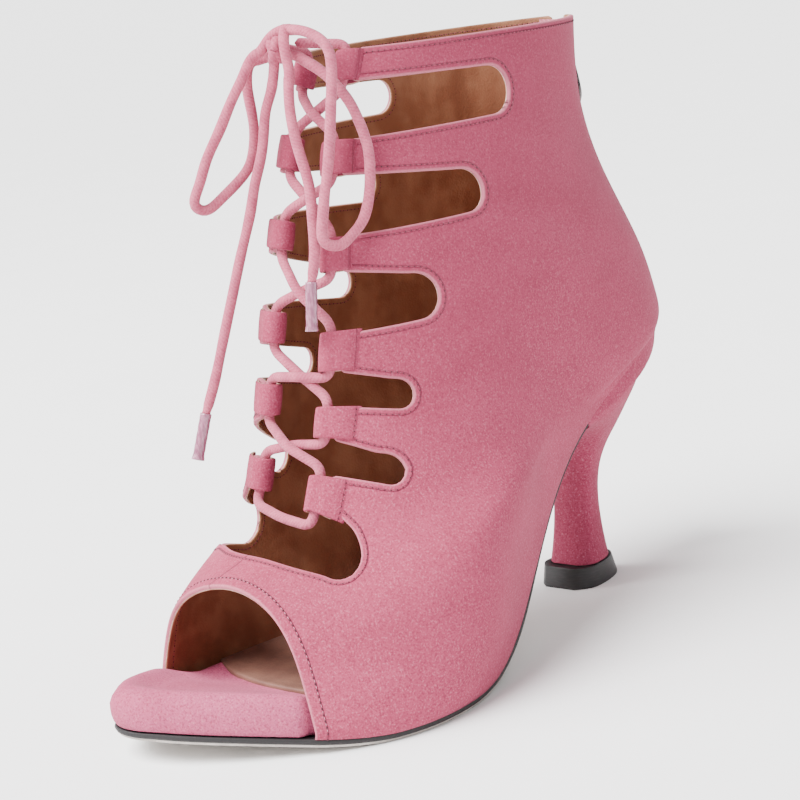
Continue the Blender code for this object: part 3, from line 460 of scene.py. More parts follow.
def over_sole(across, ahead, up):
    """Points at heights square to the sole line."""
    slope = sole_top(ahead + 0.5) - sole_top(ahead - 0.5)
    scale = 1.0 / np.hypot(1.0, slope)
    return np.stack([across, ahead - up * slope * scale, sole_top(ahead) + up * scale], axis=1)


class Outline:
    """The feather edge seen from above, and its copies drawn in or out."""

    def __init__(self):
        self.ring = ring_points(len(RING_ENDS) - 1, 480)[:, :2]
        along = np.roll(self.ring, -1, axis=0) - np.roll(self.ring, 1, axis=0)
        self.inward = unit(np.stack([-along[:, 1], along[:, 0]], axis=1))
        if ((self.ring.mean(axis=0) - self.ring) * self.inward).sum() < 0:
            self.inward = -self.inward

    def drawn(self, inset):
        return self.ring + inset * self.inward

    def edges(self, ahead, inset):
        """Medial and lateral edge at a distance ahead of the heel's back."""
        places = [np.interp(ahead, side[:, 1], side[:, 0]) for side in two_sides(self.drawn(inset))]
        return min(places), max(places)


def to_world(points):
    """From (across, ahead, height) in millimetres to world metres."""
    points = np.array(points, float)
    points[..., 1] = REST_SPOT - points[..., 1]
    return points * MM


# ------------------------------------------------------------------ meshes

def placed(name, data):
    """A new object in the scene."""
    piece = bpy.data.objects.new(name, data)
    bpy.context.scene.collection.objects.link(piece)
    return piece


def make_object(name, points, faces, materials, slots=None, smooth=True):
    mesh = bpy.data.meshes.new(name)
    mesh.from_pydata(np.asarray(points, float).tolist(), [], faces)
    for material in materials:
        mesh.materials.append(material)
    if slots is not None:
        mesh.polygons.foreach_set("material_index", np.asarray(slots, dtype=np.int32))
    if smooth:
        mesh.shade_smooth()
    return placed(name, mesh)


def face_outward(piece, sharp=None):
    """Merges a closed piece's doubled points, turns its faces out and marks its sharp edges."""
    work = bmesh.new()
    work.from_mesh(piece.data)
    bmesh.ops.remove_doubles(work, verts=work.verts, dist=MERGE)
    bmesh.ops.recalc_face_normals(work, faces=work.faces)
    work.to_mesh(piece.data)
    work.free()
    if sharp is not None:
        piece.data.set_sharp_from_angle(angle=math.radians(sharp))


def evaluated_mesh(piece):
    """A plain mesh of a piece as its modifiers leave it."""
    bpy.context.view_layer.update()
    graph = bpy.context.evaluated_depsgraph_get()
    return bpy.data.meshes.new_from_object(piece.evaluated_get(graph))


def set_attribute(piece, name, values):
    """A number for each point, or one for all."""
    layer = piece.data.attributes.new(name, "FLOAT", "POINT").data
    layer.foreach_set("value", np.broadcast_to(np.asarray(values, np.float32), len(layer)))


def band_faces(rows, size):
    """Quads between equal closed rings, ring by ring."""
    faces = []
    for low in range(0, (rows - 1) * size, size):
        for i in range(size):
            j = (i + 1) % size
            faces.append((low + i, low + j, low + size + j, low + size + i))
    return faces


def cap_faces(rows, size):
    """The faces that close the first and the last ring."""
    return [tuple(range(size))[::-1], tuple((rows - 1) * size + i for i in range(size))]


def loft(name, sections, materials, sharp=50.0):
    """A closed solid through equal rings of world points."""
    sections = np.asarray(sections)
    rows, size = sections.shape[:2]
    faces = band_faces(rows, size) + cap_faces(rows, size)
    piece = make_object(name, sections.reshape(-1, 3), faces, materials)
    face_outward(piece, sharp)
    return piece


def cord_frames(path):
    """Two directions across a path at each of its points, carried along without twist."""
    tangent = unit(np.gradient(path, axis=0))
    side = unit(np.cross(tangent[0], (0.31, 0.87, 0.38)))
    sides = []
    for direction in tangent:
        side = unit(side - side.dot(direction) * direction)
        sides.append(side)
    sides = np.array(sides)
    return sides, np.cross(tangent, sides)


def tube(name, path, radius, material, around=14, start_round=True, end_round=True):
    """A cord along world points, with round ends and a UV map in millimetres."""
    path = np.asarray(path, float)
    travelled = chord_knots(path)
    radii = np.broadcast_to(np.asarray(radius, float), len(path)).copy()
    for is_round, distance in (
        (start_round, travelled), (end_round, travelled[-1] - travelled),
    ):
        if is_round:
            share = np.clip(distance / radii, 0.0, 1.0)
            radii = radii * np.sqrt(np.maximum(1.0 - (1.0 - share) ** 2, 0.02))
    first, second = cord_frames(path)
    turn = np.linspace(0.0, 2.0 * math.pi, around, endpoint=False)
    cosine, sine = np.cos(turn)[None, :, None], np.sin(turn)[None, :, None]
    ring = cosine * first[:, None] + sine * second[:, None]
    points = path[:, None] + radii[:, None, None] * ring
    faces = band_faces(len(path), around) + cap_faces(len(path), around)
    piece = make_object(name, points.reshape(-1, 3), faces, [material])
    layer = piece.data.uv_layers.new(name="cord")
    rim = 2.0 * math.pi * float(np.max(radii)) / MM
    for polygon in piece.data.polygons:
        wraps = polygon.index % around == around - 1
        for loop in polygon.loop_indices:
            vertex = piece.data.loops[loop].vertex_index
            share = (vertex % around) / around
            if wraps and share == 0.0:
                share = 1.0
            row = min(vertex // around, len(path) - 1)
            layer.data[loop].uv = (share * rim, travelled[row] / MM)
    return piece


def join(name, pieces):
    """One piece of several, each with its own material."""
    bpy.ops.object.select_all(action="DESELECT")
    for piece in pieces:
        piece.select_set(True)
    bpy.context.view_layer.objects.active = pieces[0]
    bpy.ops.object.join()
    pieces[0].name = name
    pieces[0].data.name = name
    return pieces[0]


def rides(piece, nodes=(), body="shoe"):
    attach(piece, body)
    if nodes:
        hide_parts(*nodes)
    return piece


# ------------------------------------------------------------------ materials

def colour(code):
    """Linear colour of an sRGB hex value."""
    channels = [int(code[i:i + 2], 16) / 255 for i in (1, 3, 5)]
    return (*[c / 12.92 if c <= 0.04045 else ((c + 0.055) / 1.055) ** 2.4 for c in channels], 1.0)


def add(tree, kind, inputs=None, **settings):
    """Adds a node with its settings; inputs are values or the sockets that feed it."""
    item = tree.nodes.new(kind)
    for name, value in settings.items():
        setattr(item, name, value)
    for key, value in (inputs or {}).items():
        if isinstance(value, bpy.types.NodeSocket):
            tree.links.new(value, item.inputs[key])
        else:
            item.inputs[key].default_value = value
    return item


def new_material(name, roughness, **inputs):
    material = bpy.data.materials.new(name)
    material.use_nodes = True
    tree = material.node_tree
    shader = tree.nodes["Principled BSDF"]
    shader.inputs["Roughness"].default_value = roughness
    for key, value in inputs.items():
        shader.inputs[key.replace("_", " ")].default_value = value
    return material, tree, shader


def millimetres(tree, stretch=(1.0, 1.0, 1.0), turn=(0.0, 0.0, 0.0)):
    """Object coordinates in millimetres."""
    place = add(tree, "ShaderNodeTexCoord")
    scaled = add(
        tree, "ShaderNodeMapping",
        {"Vector": place.outputs["Object"], "Scale": tuple(1000.0 * s for s in stretch),
         "Rotation": turn},
    )
    return scaled.outputs["Vector"]


def noise(tree, vector, grain, detail=2.0, roughness=0.5):
    """Noise whose features are grain millimetres wide."""
    item = add(
        tree, "ShaderNodeTexNoise",
        {"Vector": vector, "Scale": 1.0 / grain, "Detail": detail, "Roughness": roughness},
    )
    return item.outputs["Fac"]


def blend_colours(tree, share, first, second):
    """Mixes two colours; the Mix node's colour sockets are 6 and 7, and its colour output 2."""
    inputs = {0: share, 6: first, 7: second}
    return add(tree, "ShaderNodeMix", inputs, data_type="RGBA").outputs[2]


def maths(tree, operation, *values):
    inputs = dict(enumerate(values))
    return add(tree, "ShaderNodeMath", inputs, operation=operation).outputs[0]


def spread(tree, value, low, high, to_low=0.0, to_high=1.0):
    """A value taken from one range to another, held at its ends."""
    item = add(
        tree, "ShaderNodeMapRange",
        {"Value": value, "From Min": low, "From Max": high, "To Min": to_low, "To Max": to_high},
        interpolation_type="SMOOTHSTEP",
    )
    return item.outputs["Result"]


def line_at(tree, value, centre, width):
    """1 on a line where the value is at centre, 0 a width away from it."""
    off = maths(tree, "ABSOLUTE", maths(tree, "SUBTRACT", value, centre))
    return spread(tree, off, 0.0, width, 1.0, 0.0)


def bump(tree, shader, layers):
    """Relief from layers of (height 0 to 1, depth in millimetres)."""
    normal = None
    for height, depth in layers:
        inputs = {"Height": height, "Distance": abs(depth) * MM, "Strength": 1.0}
        if normal is not None:
            inputs["Normal"] = normal
        normal = add(tree, "ShaderNodeBump", inputs, invert=depth < 0).outputs["Normal"]
    tree.links.new(normal, shader.inputs["Normal"])


def mottled(tree, value, low, high, first, second):
    """From the first colour to the second as a value goes from low to high."""
    return blend_colours(tree, spread(tree, value, low, high), colour(first), colour(second))


def tinted(tree, base, code, value, low, high, to_low, to_high=0.0):
    """A colour laid over the base; its share goes from one number to the other."""
    share = spread(tree, value, low, high, to_low, to_high)
    return blend_colours(tree, share, base, colour(code))


def finished(made, base, layers=(), gloss=None):
    """Links a new material's colour, relief and roughness."""
    material, tree, shader = made
    tree.links.new(base, shader.inputs["Base Color"])
    if gloss is not None:
        tree.links.new(gloss, shader.inputs["Roughness"])
    if layers:
        bump(tree, shader, layers)
    return material


def grained(name, roughness, patch, shades, depth, grain=None, tint=None, gloss=None,
            stretch=(1.0, 1.0, 1.0), **inputs):
    """A material mottled in two shades, with a grain that tints it and stands in relief.

    patch and grain are a noise's (grain in millimetres, detail, roughness), and one noise serves
    for both where no grain is given; shades and tint are as mottled and tinted take them.
    """
    made = new_material(name, roughness, **inputs)
    tree = made[1]
    place = millimetres(tree, stretch)
    large = noise(tree, place, *patch)
    fine = noise(tree, place, *grain) if grain else large
    base = mottled(tree, large, *shades)
    if tint:
        code, *share = tint
        base = tinted(tree, base, code, fine, *share)
    polish = spread(tree, fine, 0.3, 0.7, *gloss) if gloss else None
    return finished(made, base, ((fine, depth),), polish)


def suede(name="sueded_microfibre", first="#973a53", second="#a4425d"):
    """Microfibre sueded on one face: a short nap, brushed cloudy, dull but with a soft sheen."""
    made = new_material(
        name, 0.92, Specular_IOR_Level=0.2, Sheen_Weight=0.12,
        Sheen_Roughness=0.45, Sheen_Tint=colour("#f0a9b8"),
    )
    tree = made[1]
    place = millimetres(tree)
    brushed = millimetres(tree, (0.5, 0.22, 0.6), (0.5, 0.2, 0.3))
    nap = noise(tree, place, 0.55, 2.0, 0.6)
    tufts = noise(tree, place, 1.3, 3.0, 0.6)
    clouds = noise(tree, brushed, 7.0, 2.0, 0.5)
    shades = noise(tree, place, 34.0, 1.0, 0.5)
    base = mottled(tree, clouds, 0.25, 0.75, first, second)
    base = tinted(tree, base, "#b9566f", tufts, 0.42, 0.7, 0.0, 0.3)
    base = tinted(tree, base, "#6d2236", nap, 0.32, 0.5, 0.5)
    base = tinted(tree, base, "#cf7d92", nap, 0.55, 0.7, 0.0, 0.4)
    base = tinted(tree, base, "#862f46", shades, 0.35, 0.65, 0.2)
    # Painted shade: the suede's colour darkens towards the top of the shaft.
    level = add(tree, "ShaderNodeSeparateXYZ", {"Vector": place}).outputs["Z"]
    base = tinted(tree, base, "#7c2c41", level, 40.0, 150.0, 0.0, 0.45)
    edge, toe, seam = [
        add(tree, "ShaderNodeAttribute", attribute_name=field).outputs["Fac"] for field in FIELDS
    ]
    groove = maths(
        tree, "MAXIMUM", line_at(tree, edge, EDGE_STITCH, 0.5), line_at(tree, toe, TOE_STITCH, 0.4)
    )
    grooves_shaded = maths(tree, "MAXIMUM", groove, line_at(tree, seam, 0.0, 0.45))
    # Painted shade: the stitch grooves and the seam are darkened as well as sunk in relief.
    base = blend_colours(tree, maths(tree, "MULTIPLY", grooves_shaded, 0.4), base, colour("#6d2236"))
    base = tinted(tree, base, "#d9929f", maths(tree, "MINIMUM", edge, toe), 0.1, 0.8, 0.35)
    return finished(made, base, ((clouds, 0.12), (tufts, 0.12), (nap, 0.1), (grooves_shaded, -0.45)))


def raw_edge():
    """The cut through suede, its pale backing and lining: chalky and a little ragged."""
    return grained(
        "cut_backing", 0.9, (3.5, 2.0, 0.5), (0.35, 0.65, "#b98f80", "#d2b1a2"), 0.15,
        grain=(0.5, 3.0, 0.6), tint=("#96655c", 0.3, 0.5, 0.5), Specular_IOR_Level=0.2,
    )


def lining():
    """Thin tan lining leather, glued in: smooth, faintly pebbled, with long soft wrinkles."""
    made = new_material("tan_lining_leather", 0.55, Specular_IOR_Level=0.35)
    tree = made[1]
    place = millimetres(tree)
    drawn = millimetres(tree, (1.0, 1.0, 0.25), (0.5, 0.0, 0.0))
    wrinkles = noise(tree, drawn, 7.0, 1.0, 0.4)
    pebbles = add(
        tree, "ShaderNodeTexVoronoi", {"Vector": place, "Scale": 1.0 / 0.7}, feature="F1",
    ).outputs["Distance"]
    patch = noise(tree, place, 9.0, 2.0, 0.5)
    base = mottled(tree, patch, 0.35, 0.65, "#8a5a40", "#9c6c50")
    # Painted shade: the colour darkens in the troughs of the wrinkles.
    base = tinted(tree, base, "#6a3d2a", wrinkles, 0.3, 0.6, 0.25)
    return finished(made, base, ((wrinkles, 0.9), (pebbles, -0.06)))


def lace_cord():
    """Round knitted cord of brushed yarn: fine slanting ribs under a soft fuzz."""
    made = new_material(
        "knitted_cord", 0.85, Specular_IOR_Level=0.25, Sheen_Weight=0.3,
        Sheen_Roughness=0.4, Sheen_Tint=colour("#fbd7de"),
    )
    tree = made[1]
    flat = add(tree, "ShaderNodeUVMap", uv_map="cord").outputs["UV"]
    parts = add(tree, "ShaderNodeSeparateXYZ", {"Vector": flat})
    # Five ribs to a turn, 1.05 mm apart; the yarn of such a cord is nearer 0.5 mm.
    step = 2.0 * math.pi / 1.05
    rim = 2.0 * math.pi * CORD
    turns = 2.0 * math.pi * 5.0 / rim
    around = maths(tree, "MULTIPLY", parts.outputs[0], turns)
    along = maths(tree, "MULTIPLY", parts.outputs[1], step)
    forward = maths(tree, "SINE", maths(tree, "ADD", around, along))
    backward = maths(tree, "SINE", maths(tree, "SUBTRACT", around, along))
    knit = maths(tree, "ADD", forward, maths(tree, "MULTIPLY", backward, 0.4))
    knit = spread(tree, knit, -1.2, 1.2)
    place = millimetres(tree)
    fuzz = noise(tree, place, 0.4, 3.0, 0.65)
    patch = noise(tree, place, 3.0, 2.0, 0.5)
    base = mottled(tree, patch, 0.3, 0.7, "#ab4c66", "#c05f77")
    base = tinted(tree, base, "#8c3d50", fuzz, 0.32, 0.55, 0.6)
    base = blend_colours(tree, maths(tree, "MULTIPLY", knit, 0.16), base, colour("#dd8c9e"))
    return finished(made, base, ((knit, 0.05), (fuzz, 0.18)))


def lace_film():
    """Clear film shrunk over the cord's end: a glossy skin that greys the pink to lilac."""
    return grained(
        "shrunk_clear_film", 0.22, (0.8, 2.0, 0.5), (0.35, 0.65, "#8a5169", "#a86f86"), 0.12,
        stretch=(1.0, 1.0, 0.35), IOR=1.49, Coat_Weight=0.6, Coat_Roughness=0.08,
    )


def sock_leather():
    """Smooth pale sock leather over thin foam, lightly grained and matt; its browns are darkened as
    painted shade for the dim inside of the toe.
    """
    return grained(
        "sock_leather", 0.6, (8.0, 2.0, 0.5), (0.3, 0.7, "#6b4a40", "#7a5649"), 0.08,
        grain=(0.6, 3.0, 0.6), tint=("#593a31", 0.3, 0.55, 0.3), Specular_IOR_Level=0.3,
    )


def sole_board():
    """Moulded black outsole: close-grained resin rubber, satin where the edge is trimmed."""
    return grained(
        "moulded_black_outsole", 0.6, (0.6, 2.0, 0.5), (0.3, 0.7, "#0d0a0b", "#171214"), 0.05,
        gloss=(0.55, 0.75), IOR=1.52,
    )


def sole_suede():
    """Chrome-tanned split glued under the sole for the dance floor: pale, brushed and dusty."""
    return grained(
        "split_sole_suede", 0.95, (12.0, 3.0, 0.55), (0.35, 0.65, "#a79f99", "#c9c2bb"), 0.12,
        grain=(0.5, 3.0, 0.6), tint=("#8b827c", 0.3, 0.55, 0.4), Specular_IOR_Level=0.2,
    )


def lift_rubber():
    """Cast black top lift of hard rubber: satin, with fine trimming marks."""
    return grained(
        "hard_rubber_lift", 0.5, (1.2, 2.0, 0.5), (0.3, 0.7, "#131112", "#221e20"), 0.04,
        stretch=(0.4, 0.4, 4.0), IOR=1.52,
    )


def zip_tape():
    """Woven polyester zip tape: a fine twill in the upper's pink."""
    made = new_material("woven_zip_tape", 0.8, Specular_IOR_Level=0.25)
    tree = made[1]
    # Twill ribs 0.9 mm apart, wider than the 0.4 mm of the real cloth.
    weave = add(
        tree, "ShaderNodeTexWave",
        {"Vector": millimetres(tree), "Scale": 0.31416 / 0.9, "Distortion": 0.3},
        wave_type="BANDS", bands_direction="DIAGONAL",
    ).outputs["Fac"]
    base = blend_colours(tree, weave, colour("#b76a78"), colour("#cf8795"))
    return finished(made, base, ((weave, 0.12),))


def zip_metal():
    """Zinc cast and plated gunmetal: dark and bright, with small tarnished places."""
    return grained(
        "plated_zinc", 0.3, (1.5, 3.0, 0.6), (0.35, 0.65, "#4b4546", "#6d6566"), 0.02,
        gloss=(0.24, 0.42), Metallic=1.0,
    )


def thread(name, dark, light):
    """Three-ply polyester sewing thread: twisted, with a slight shine; its near-black copy paints
    the shade in the needle holes.
    """
    return grained(
        name, 0.6, (0.3, 2.0, 0.5), (0.35, 0.65, dark, light), 0.06, Specular_IOR_Level=0.35,
    )


def studio_floor():
    """Painted studio floor: matt and nearly white, with the faintest mottling."""
    made = new_material("painted_floor", 0.9, Specular_IOR_Level=0.1)
    patch = noise(made[1], millimetres(made[1]), 60.0, 2.0, 0.5)
    return finished(made, blend_colours(made[1], patch, colour("#fbfbfb"), colour("#ffffff")))


# ------------------------------------------------------------------ camera and studio

def turn_to(item, right, up, back, place):
    rows = [(right[k], up[k], back[k], place[k]) for k in range(3)] + [(0.0, 0.0, 0.0, 1.0)]
    item.matrix_world = Matrix(rows)


def make_camera():
    """Seen from in front of the outer side, a little above, rolled so that the heel is low."""
    azimuth = math.radians(44.5)
    elevation = math.radians(11.6)
    roll = math.radians(-7.3)
    target = np.array([-1.5, 50.3, 75.8]) * MM
    distance = 664.1 * MM
    back = np.array([
        math.sin(azimuth) * math.cos(elevation),
        -math.cos(azimuth) * math.cos(elevation),
        math.sin(elevation),
    ])
    level = np.array([math.cos(azimuth), math.sin(azimuth), 0.0])
    upright = np.cross(back, level)
    right = math.cos(roll) * level + math.sin(roll) * upright
    up = math.cos(roll) * upright - math.sin(roll) * level
    lens = bpy.data.cameras.new("camera")
    lens.sensor_width = 36.0
    lens.lens = 101.93
    lens.clip_start = 0.05
    camera = placed("camera", lens)
    turn_to(camera, right, up, back, target + distance * back)
    bpy.context.scene.camera = camera


def aimed(name, lamp, direction, distance):
    """A lamp that shines at the shoe's middle from a direction, given from the shoe outward."""
    middle = np.array([0.0, 0.03, 0.08])
    back = unit(np.array(direction, float))
    side = unit(np.cross((0.0, 1.0, 0.0), back))
    turn_to(placed(name, lamp), side, np.cross(back, side), back, middle + distance * back)


def make_studio():
    half = 120.0
    corners = [(-half, -half, 0.0), (half, -half, 0.0), (half, half, 0.0), (-half, half, 0.0)]
    floor = make_object("studio_floor", corners, [(0, 1, 2, 3)], [studio_floor()])
    world = bpy.data.worlds.new("studio_air")
    world.use_nodes = True
    air = world.node_tree.nodes["Background"]
    air.inputs["Color"].default_value = colour("#ffffff")
    air.inputs["Strength"].default_value = 0.85
    bpy.context.scene.world = world
    # A wide ceiling of light leaning over the toe, and a small box for a sheen on the side.
    ceiling = bpy.data.lights.new("ceiling", "SUN")
    ceiling.energy = 9.0
    ceiling.angle = math.radians(42.0)
    aimed("ceiling", ceiling, (-0.12, -0.55, 0.85), 2.0)
    box = bpy.data.lights.new("front_box", "AREA")
    box.shape = "RECTANGLE"
    box.size = 0.8
    box.size_y = 0.6
    box.energy = 18.0
    aimed("front_box", box, (-0.75, -0.62, 0.75), 1.3)


# ------------------------------------------------------------------ lace

def rounded_route(points, spacing, softness):
    """Points of a line through the given points, with its corners rounded off."""
    points = np.asarray(points, float)
    knots = chord_knots(points)
    at = np.linspace(0.0, knots[-1], round(knots[-1] / spacing) + 1)
    reach = softness * np.clip(np.minimum(at, knots[-1] - at) / softness, 0.0, 1.0)
    line = np.zeros((len(at), 3))
    shares = np.linspace(-1.0, 1.0, 17)
    for share in shares:
        for axis in range(3):
            line[:, axis] += np.interp(at + share * reach, knots, points[:, axis]) / len(shares)
    return line


def each_loop():
    for side, table in ((1.0, LOOPS_LATERAL), (-1.0, LOOPS_MEDIAL)):
        for level, (bottom, top) in enumerate(table, start=1):
            yield side, level, bottom, top


def lace_paths(face):
    """The lace's two ways down from the knot through the loops."""
    ends = {}
    for side, level, bottom, top in each_loop():
        for place, height in (("low", bottom - BEND_GAP), ("high", top + BEND_GAP)):
            ends[side, level, place] = face.walk(side, height, LOOP_CENTRE, LOOP_RISE)[0]
    levels = len(LOOPS_LATERAL)

    def run(side, start, over):
        path = [start]
        for level in range(1, levels + 1):
            path += [ends[side, level, "high"], ends[side, level, "low"]]
            if level < levels:
                corners = [ends[s, level, "low"] for s in (1.0, -1.0)]
                corners += [ends[s, level + 1, "high"] for s in (1.0, -1.0)]
                path.append(np.mean(corners, axis=0) + np.array([0.0, 1.6 + over, 0.4]))
                side = -side
        return path, side

    first, last_side = run(-1.0, LACE_STARTS[0], 1.3)
    second, _ = run(1.0, LACE_STARTS[1], -1.3)
    near = ends[last_side, levels, "low"]
    far = ends[-last_side, levels, "low"]
    far_top = ends[-last_side, levels, "high"]
    bar = [near + LACE_DROP, (near + far) / 2.0 + 1.4 * LACE_DROP, far + LACE_DROP]
    first += [*bar, far, (far + far_top) / 2.0]
    second[-1] = 0.62 * far + 0.38 * far_top
    return first, second


def uneven(count, seed, size):
    """Slow unevenness along a cord, the same each time."""
    at = np.arange(count)
    waves = [math.sin(seed * k) * np.sin(at * (0.11 + 0.07 * k) + seed * k) for k in range(1, 6)]
    return size * np.sum(waves, axis=0) / 2.0


def make_lace(face, yarn, film):
    for name, route, ends in (
        ("bow_loop_left", BOW_LEFT, "object"),
        ("bow_loop_right", BOW_RIGHT, "object"),
        ("lace_end_left", END_LEFT, "fitting"),
        ("lace_end_right", END_RIGHT, "fitting"),
    ):
        path = smooth_route(route, 0.9) * MM
        drawn = path
        radius = CORD * MM * (1.0 + uneven(len(path), len(route), 0.035))
        if ends == "fitting":
            # The yarn is squeezed where it runs on into its film.
            drawn = np.concatenate([path, path[-1:] + unit(path[-1:] - path[-2:-1]) * 1.8 * MM])
            left = chord_knots(path)[-1] - chord_knots(path)
            radius = np.append(radius * (1.0 - 0.2 * ease(1.0 - left / (2.2 * MM))), 1.45 * MM)
        piece = tube(name + "_cord", drawn, radius, yarn, end_round=ends != "fitting")
        rides(piece, [name])

    for name, route in (("lace_tip_left", TIP_LEFT), ("lace_tip_right", TIP_RIGHT)):
        path = smooth_route(route, 0.5) * MM
        length = chord_knots(path)
        ripple = 1.62 + 0.03 * np.sin(length / MM * 2.1)
        mouth = 0.22 * np.exp(-((length - length[-1]) / (0.9 * MM)) ** 2)
        piece = tube(name + "_film", path, (ripple + mouth) * MM, film, 16, False, False)
        rides(piece, [name])

    knot = make_knot(yarn)

    strands = []
    for number, points in enumerate(lace_paths(face)):
        path = to_world(rounded_route(points, 0.9, 3.0))
        radius = 0.94 * CORD * MM * (1.0 + uneven(len(path), 3 + number, 0.03))
        strands.append(tube(f"strand_{number}", path, radius, yarn))
    rides(join("threaded_lace", strands), ["lace_crossings"])


def make_knot(yarn):
    """The bow's knot: two turns, and the strands that run through it and fall over its front."""
    toward = np.array([0.55, -0.8, 0.0])
    toward /= np.linalg.norm(toward)
    across = np.cross(toward, (0.0, 0.0, 1.0))
    angle = np.linspace(0.0, 2.0 * math.pi, 40)[:, None]
    turns = []
    for radius, height, tilt, thick in KNOT_TURNS:
        lean = across * math.cos(tilt) + np.array([0.0, 0.0, math.sin(tilt)])
        upward = height * np.sin(angle) * np.cross(lean, toward)
        ring = KNOT + radius * np.cos(angle) * toward + upward
        turns.append(tube("turn", ring * MM, thick * MM, yarn, 12, False, False))
    for name, route in KNOT_STRANDS.items():
        turns.append(tube(name, smooth_route(route, 0.8) * MM, CORD * MM, yarn))
    return rides(join("bow_knot", turns), ["lace_knot"])


# ------------------------------------------------------------------ cuts on the last

def polygon_distance(points, outline):
    """Distance in a plane from each point to an outline, negative inside it."""
    outline = np.asarray(outline, float)
    following = np.roll(outline, -1, axis=0)
    side = following - outline
    offset = points[:, None] - outline[None]
    share = (offset * side).sum(axis=2) / np.maximum((side**2).sum(axis=1), 1e-9)
    nearest = offset - np.clip(share, 0.0, 1.0)[:, :, None] * side
    distance = np.sqrt((nearest**2).sum(axis=2)).min(axis=1)
    above = outline[None, :, 1] > points[:, None, 1]
    above_next = following[None, :, 1] > points[:, None, 1]
    fall = np.where(np.abs(side[:, 1]) < 1e-9, 1e-9, side[:, 1])
    crossing = outline[:, 0] + (points[:, None, 1] - outline[:, 1]) * side[:, 0] / fall
    inside = ((above != above_next) & (points[:, None, 0] < crossing)).sum(axis=1) % 2 == 1
    return np.where(inside, -distance, distance)


def slot_outline(row, steps=24):
    """A slot seen from the side, open at the front and round at the rear."""
    rear, top_rear, bottom_rear, front, top_front, bottom_front, run = row
    half = (top_rear - bottom_rear) / 2.0
    middle = (top_rear + bottom_rear) / 2.0
    outline = [(front + run, top_front + 0.02 * run), (front, top_front)]
    for k in range(steps + 1):
        turn = math.pi * k / steps
        outline.append((rear + half * (1.0 - math.sin(turn)), middle + half * math.cos(turn)))
    outline += [(front, bottom_front), (front + run, bottom_front - 0.02 * run)]
    return outline


def instep_outline(steps=20):
    """The lowest slot seen from above, with round ends."""
    rows = np.array(INSTEP_SLOT)
    across = np.linspace(rows[0, 0], rows[-1, 0], 41)
    smooth = spline(rows[:, 0], rows[:, 1:], across)
    outline = [(x, rear) for x, (rear, _) in zip(across, smooth)]
    for (x, rear, front), sign in ((rows[-1], 1.0), (rows[0], -1.0)):
        half = (front - rear) / 2.0
        for k in range(1, steps):
            turn = math.pi * k / steps
            step = -half * math.cos(turn) * sign
            outline.append((x + sign * half * math.sin(turn) * 1.05, (rear + front) / 2.0 + step))
        if sign > 0:
            outline += [(x, front) for x, (_, front) in zip(across[::-1], smooth[::-1])]
    return outline


def cut_field(points):
    """How far each point of the last is from the slots, throat and zip, negative inside them."""
    across, ahead, height = points.T
    side_view = points[:, 1:]
    kept = np.full(len(points), 60.0)
    for sign, table in ((1.0, SLOTS_LATERAL), (-1.0, SLOTS_MEDIAL)):
        for row in table:
            cut = np.maximum(polygon_distance(side_view, slot_outline(row)), 1.0 - sign * across)
            kept = np.minimum(kept, cut)
    plan = polygon_distance(points[:, :2], instep_outline())
    level = np.maximum(INSTEP_SLOT_FLOOR - height, height - INSTEP_SLOT_ROOF)
    kept = np.minimum(kept, np.maximum(plan, level))
    heights = [row[0] for row in THROAT_EDGE if row[0] > INSTEP_SLOT_ROOF - 10.0] + [THROAT_FLOOR]
    left = [(throat_edge(h, -1.0) - THROAT_REACH, h) for h in heights]
    right = [(throat_edge(h, 1.0) + THROAT_REACH, h) for h in heights]
    front_view = points[:, [0, 2]]
    throat = np.maximum(polygon_distance(front_view, left + right[::-1]), 95.0 - ahead)
    kept = np.minimum(kept, throat)
    half = ZIP_SLIT / 2.0
    slit = ((-half, ZIP_BOTTOM), (half, ZIP_BOTTOM), (half, 220.0), (-half, 220.0))
    return np.minimum(kept, np.maximum(polygon_distance(front_view, slit), ahead - 60.0))


def toe_edge(across, height):
    return TOE_OPENING + TOE_OPENING_TURN * across - TOE_OPENING_LEAN * (height - 20.0)


def level_lines(values, field, triangles, level):
    """The calm lines where a field over a triangle mesh is at a level, as chains of points."""
    above = field >= level
    mixed = triangles[(above[triangles].sum(axis=1) % 3) != 0]
    links = {}
    places = {}

    def crossing(a, b):
        key = (min(a, b), max(a, b))
        if key not in places:
            a, b = key
            share = (level - field[a]) / (field[b] - field[a])
            places[key] = values[a] + share * (values[b] - values[a])
        return key

    for a, b, c in mixed.tolist():
        keys = [crossing(i, j) for i, j in ((a, b), (b, c), (c, a)) if above[i] != above[j]]
        links.setdefault(keys[0], []).append(keys[1])
        links.setdefault(keys[1], []).append(keys[0])
    chains = []
    starts = [key for key in links if len(links[key]) == 1] + list(links)
    used = set()
    for start in starts:
        if start in used:
            continue
        chain = [start]
        used.add(start)
        while True:
            following = [key for key in links[chain[-1]] if key not in used]
            if not following:
                break
            chain.append(following[0])
            used.add(following[0])
        closed = len(chain) > 2 and chain[0] in links[chain[-1]]
        line = np.array([places[key] for key in chain])
        if closed:
            line = np.concatenate([line, line[:1]])
        if len(line) > 3:
            chains.append(calm(line))
    return chains


def even_steps(line, spacing):
    """A line's rows again at even steps along it."""
    knots = chord_knots(line[:, :3])
    count = max(2, round(knots[-1] / spacing))
    at = np.linspace(0.0, knots[-1], count + 1)
    return np.stack([np.interp(at, knots, line[:, k]) for k in range(line.shape[1])], axis=1)


def calm(line, rounds=2):
    """A line with its small jitter taken out; a closed one stays closed."""
    closed = np.linalg.norm(line[0, :3] - line[-1, :3]) < 1e-6
    for _ in range(rounds):
        inner = line.copy()
        inner[1:-1] = 0.25 * line[:-2] + 0.5 * line[1:-1] + 0.25 * line[2:]
        if closed:
            inner[0] = inner[-1] = 0.25 * line[-2] + 0.5 * line[0] + 0.25 * line[1]
        line = inner
    return line


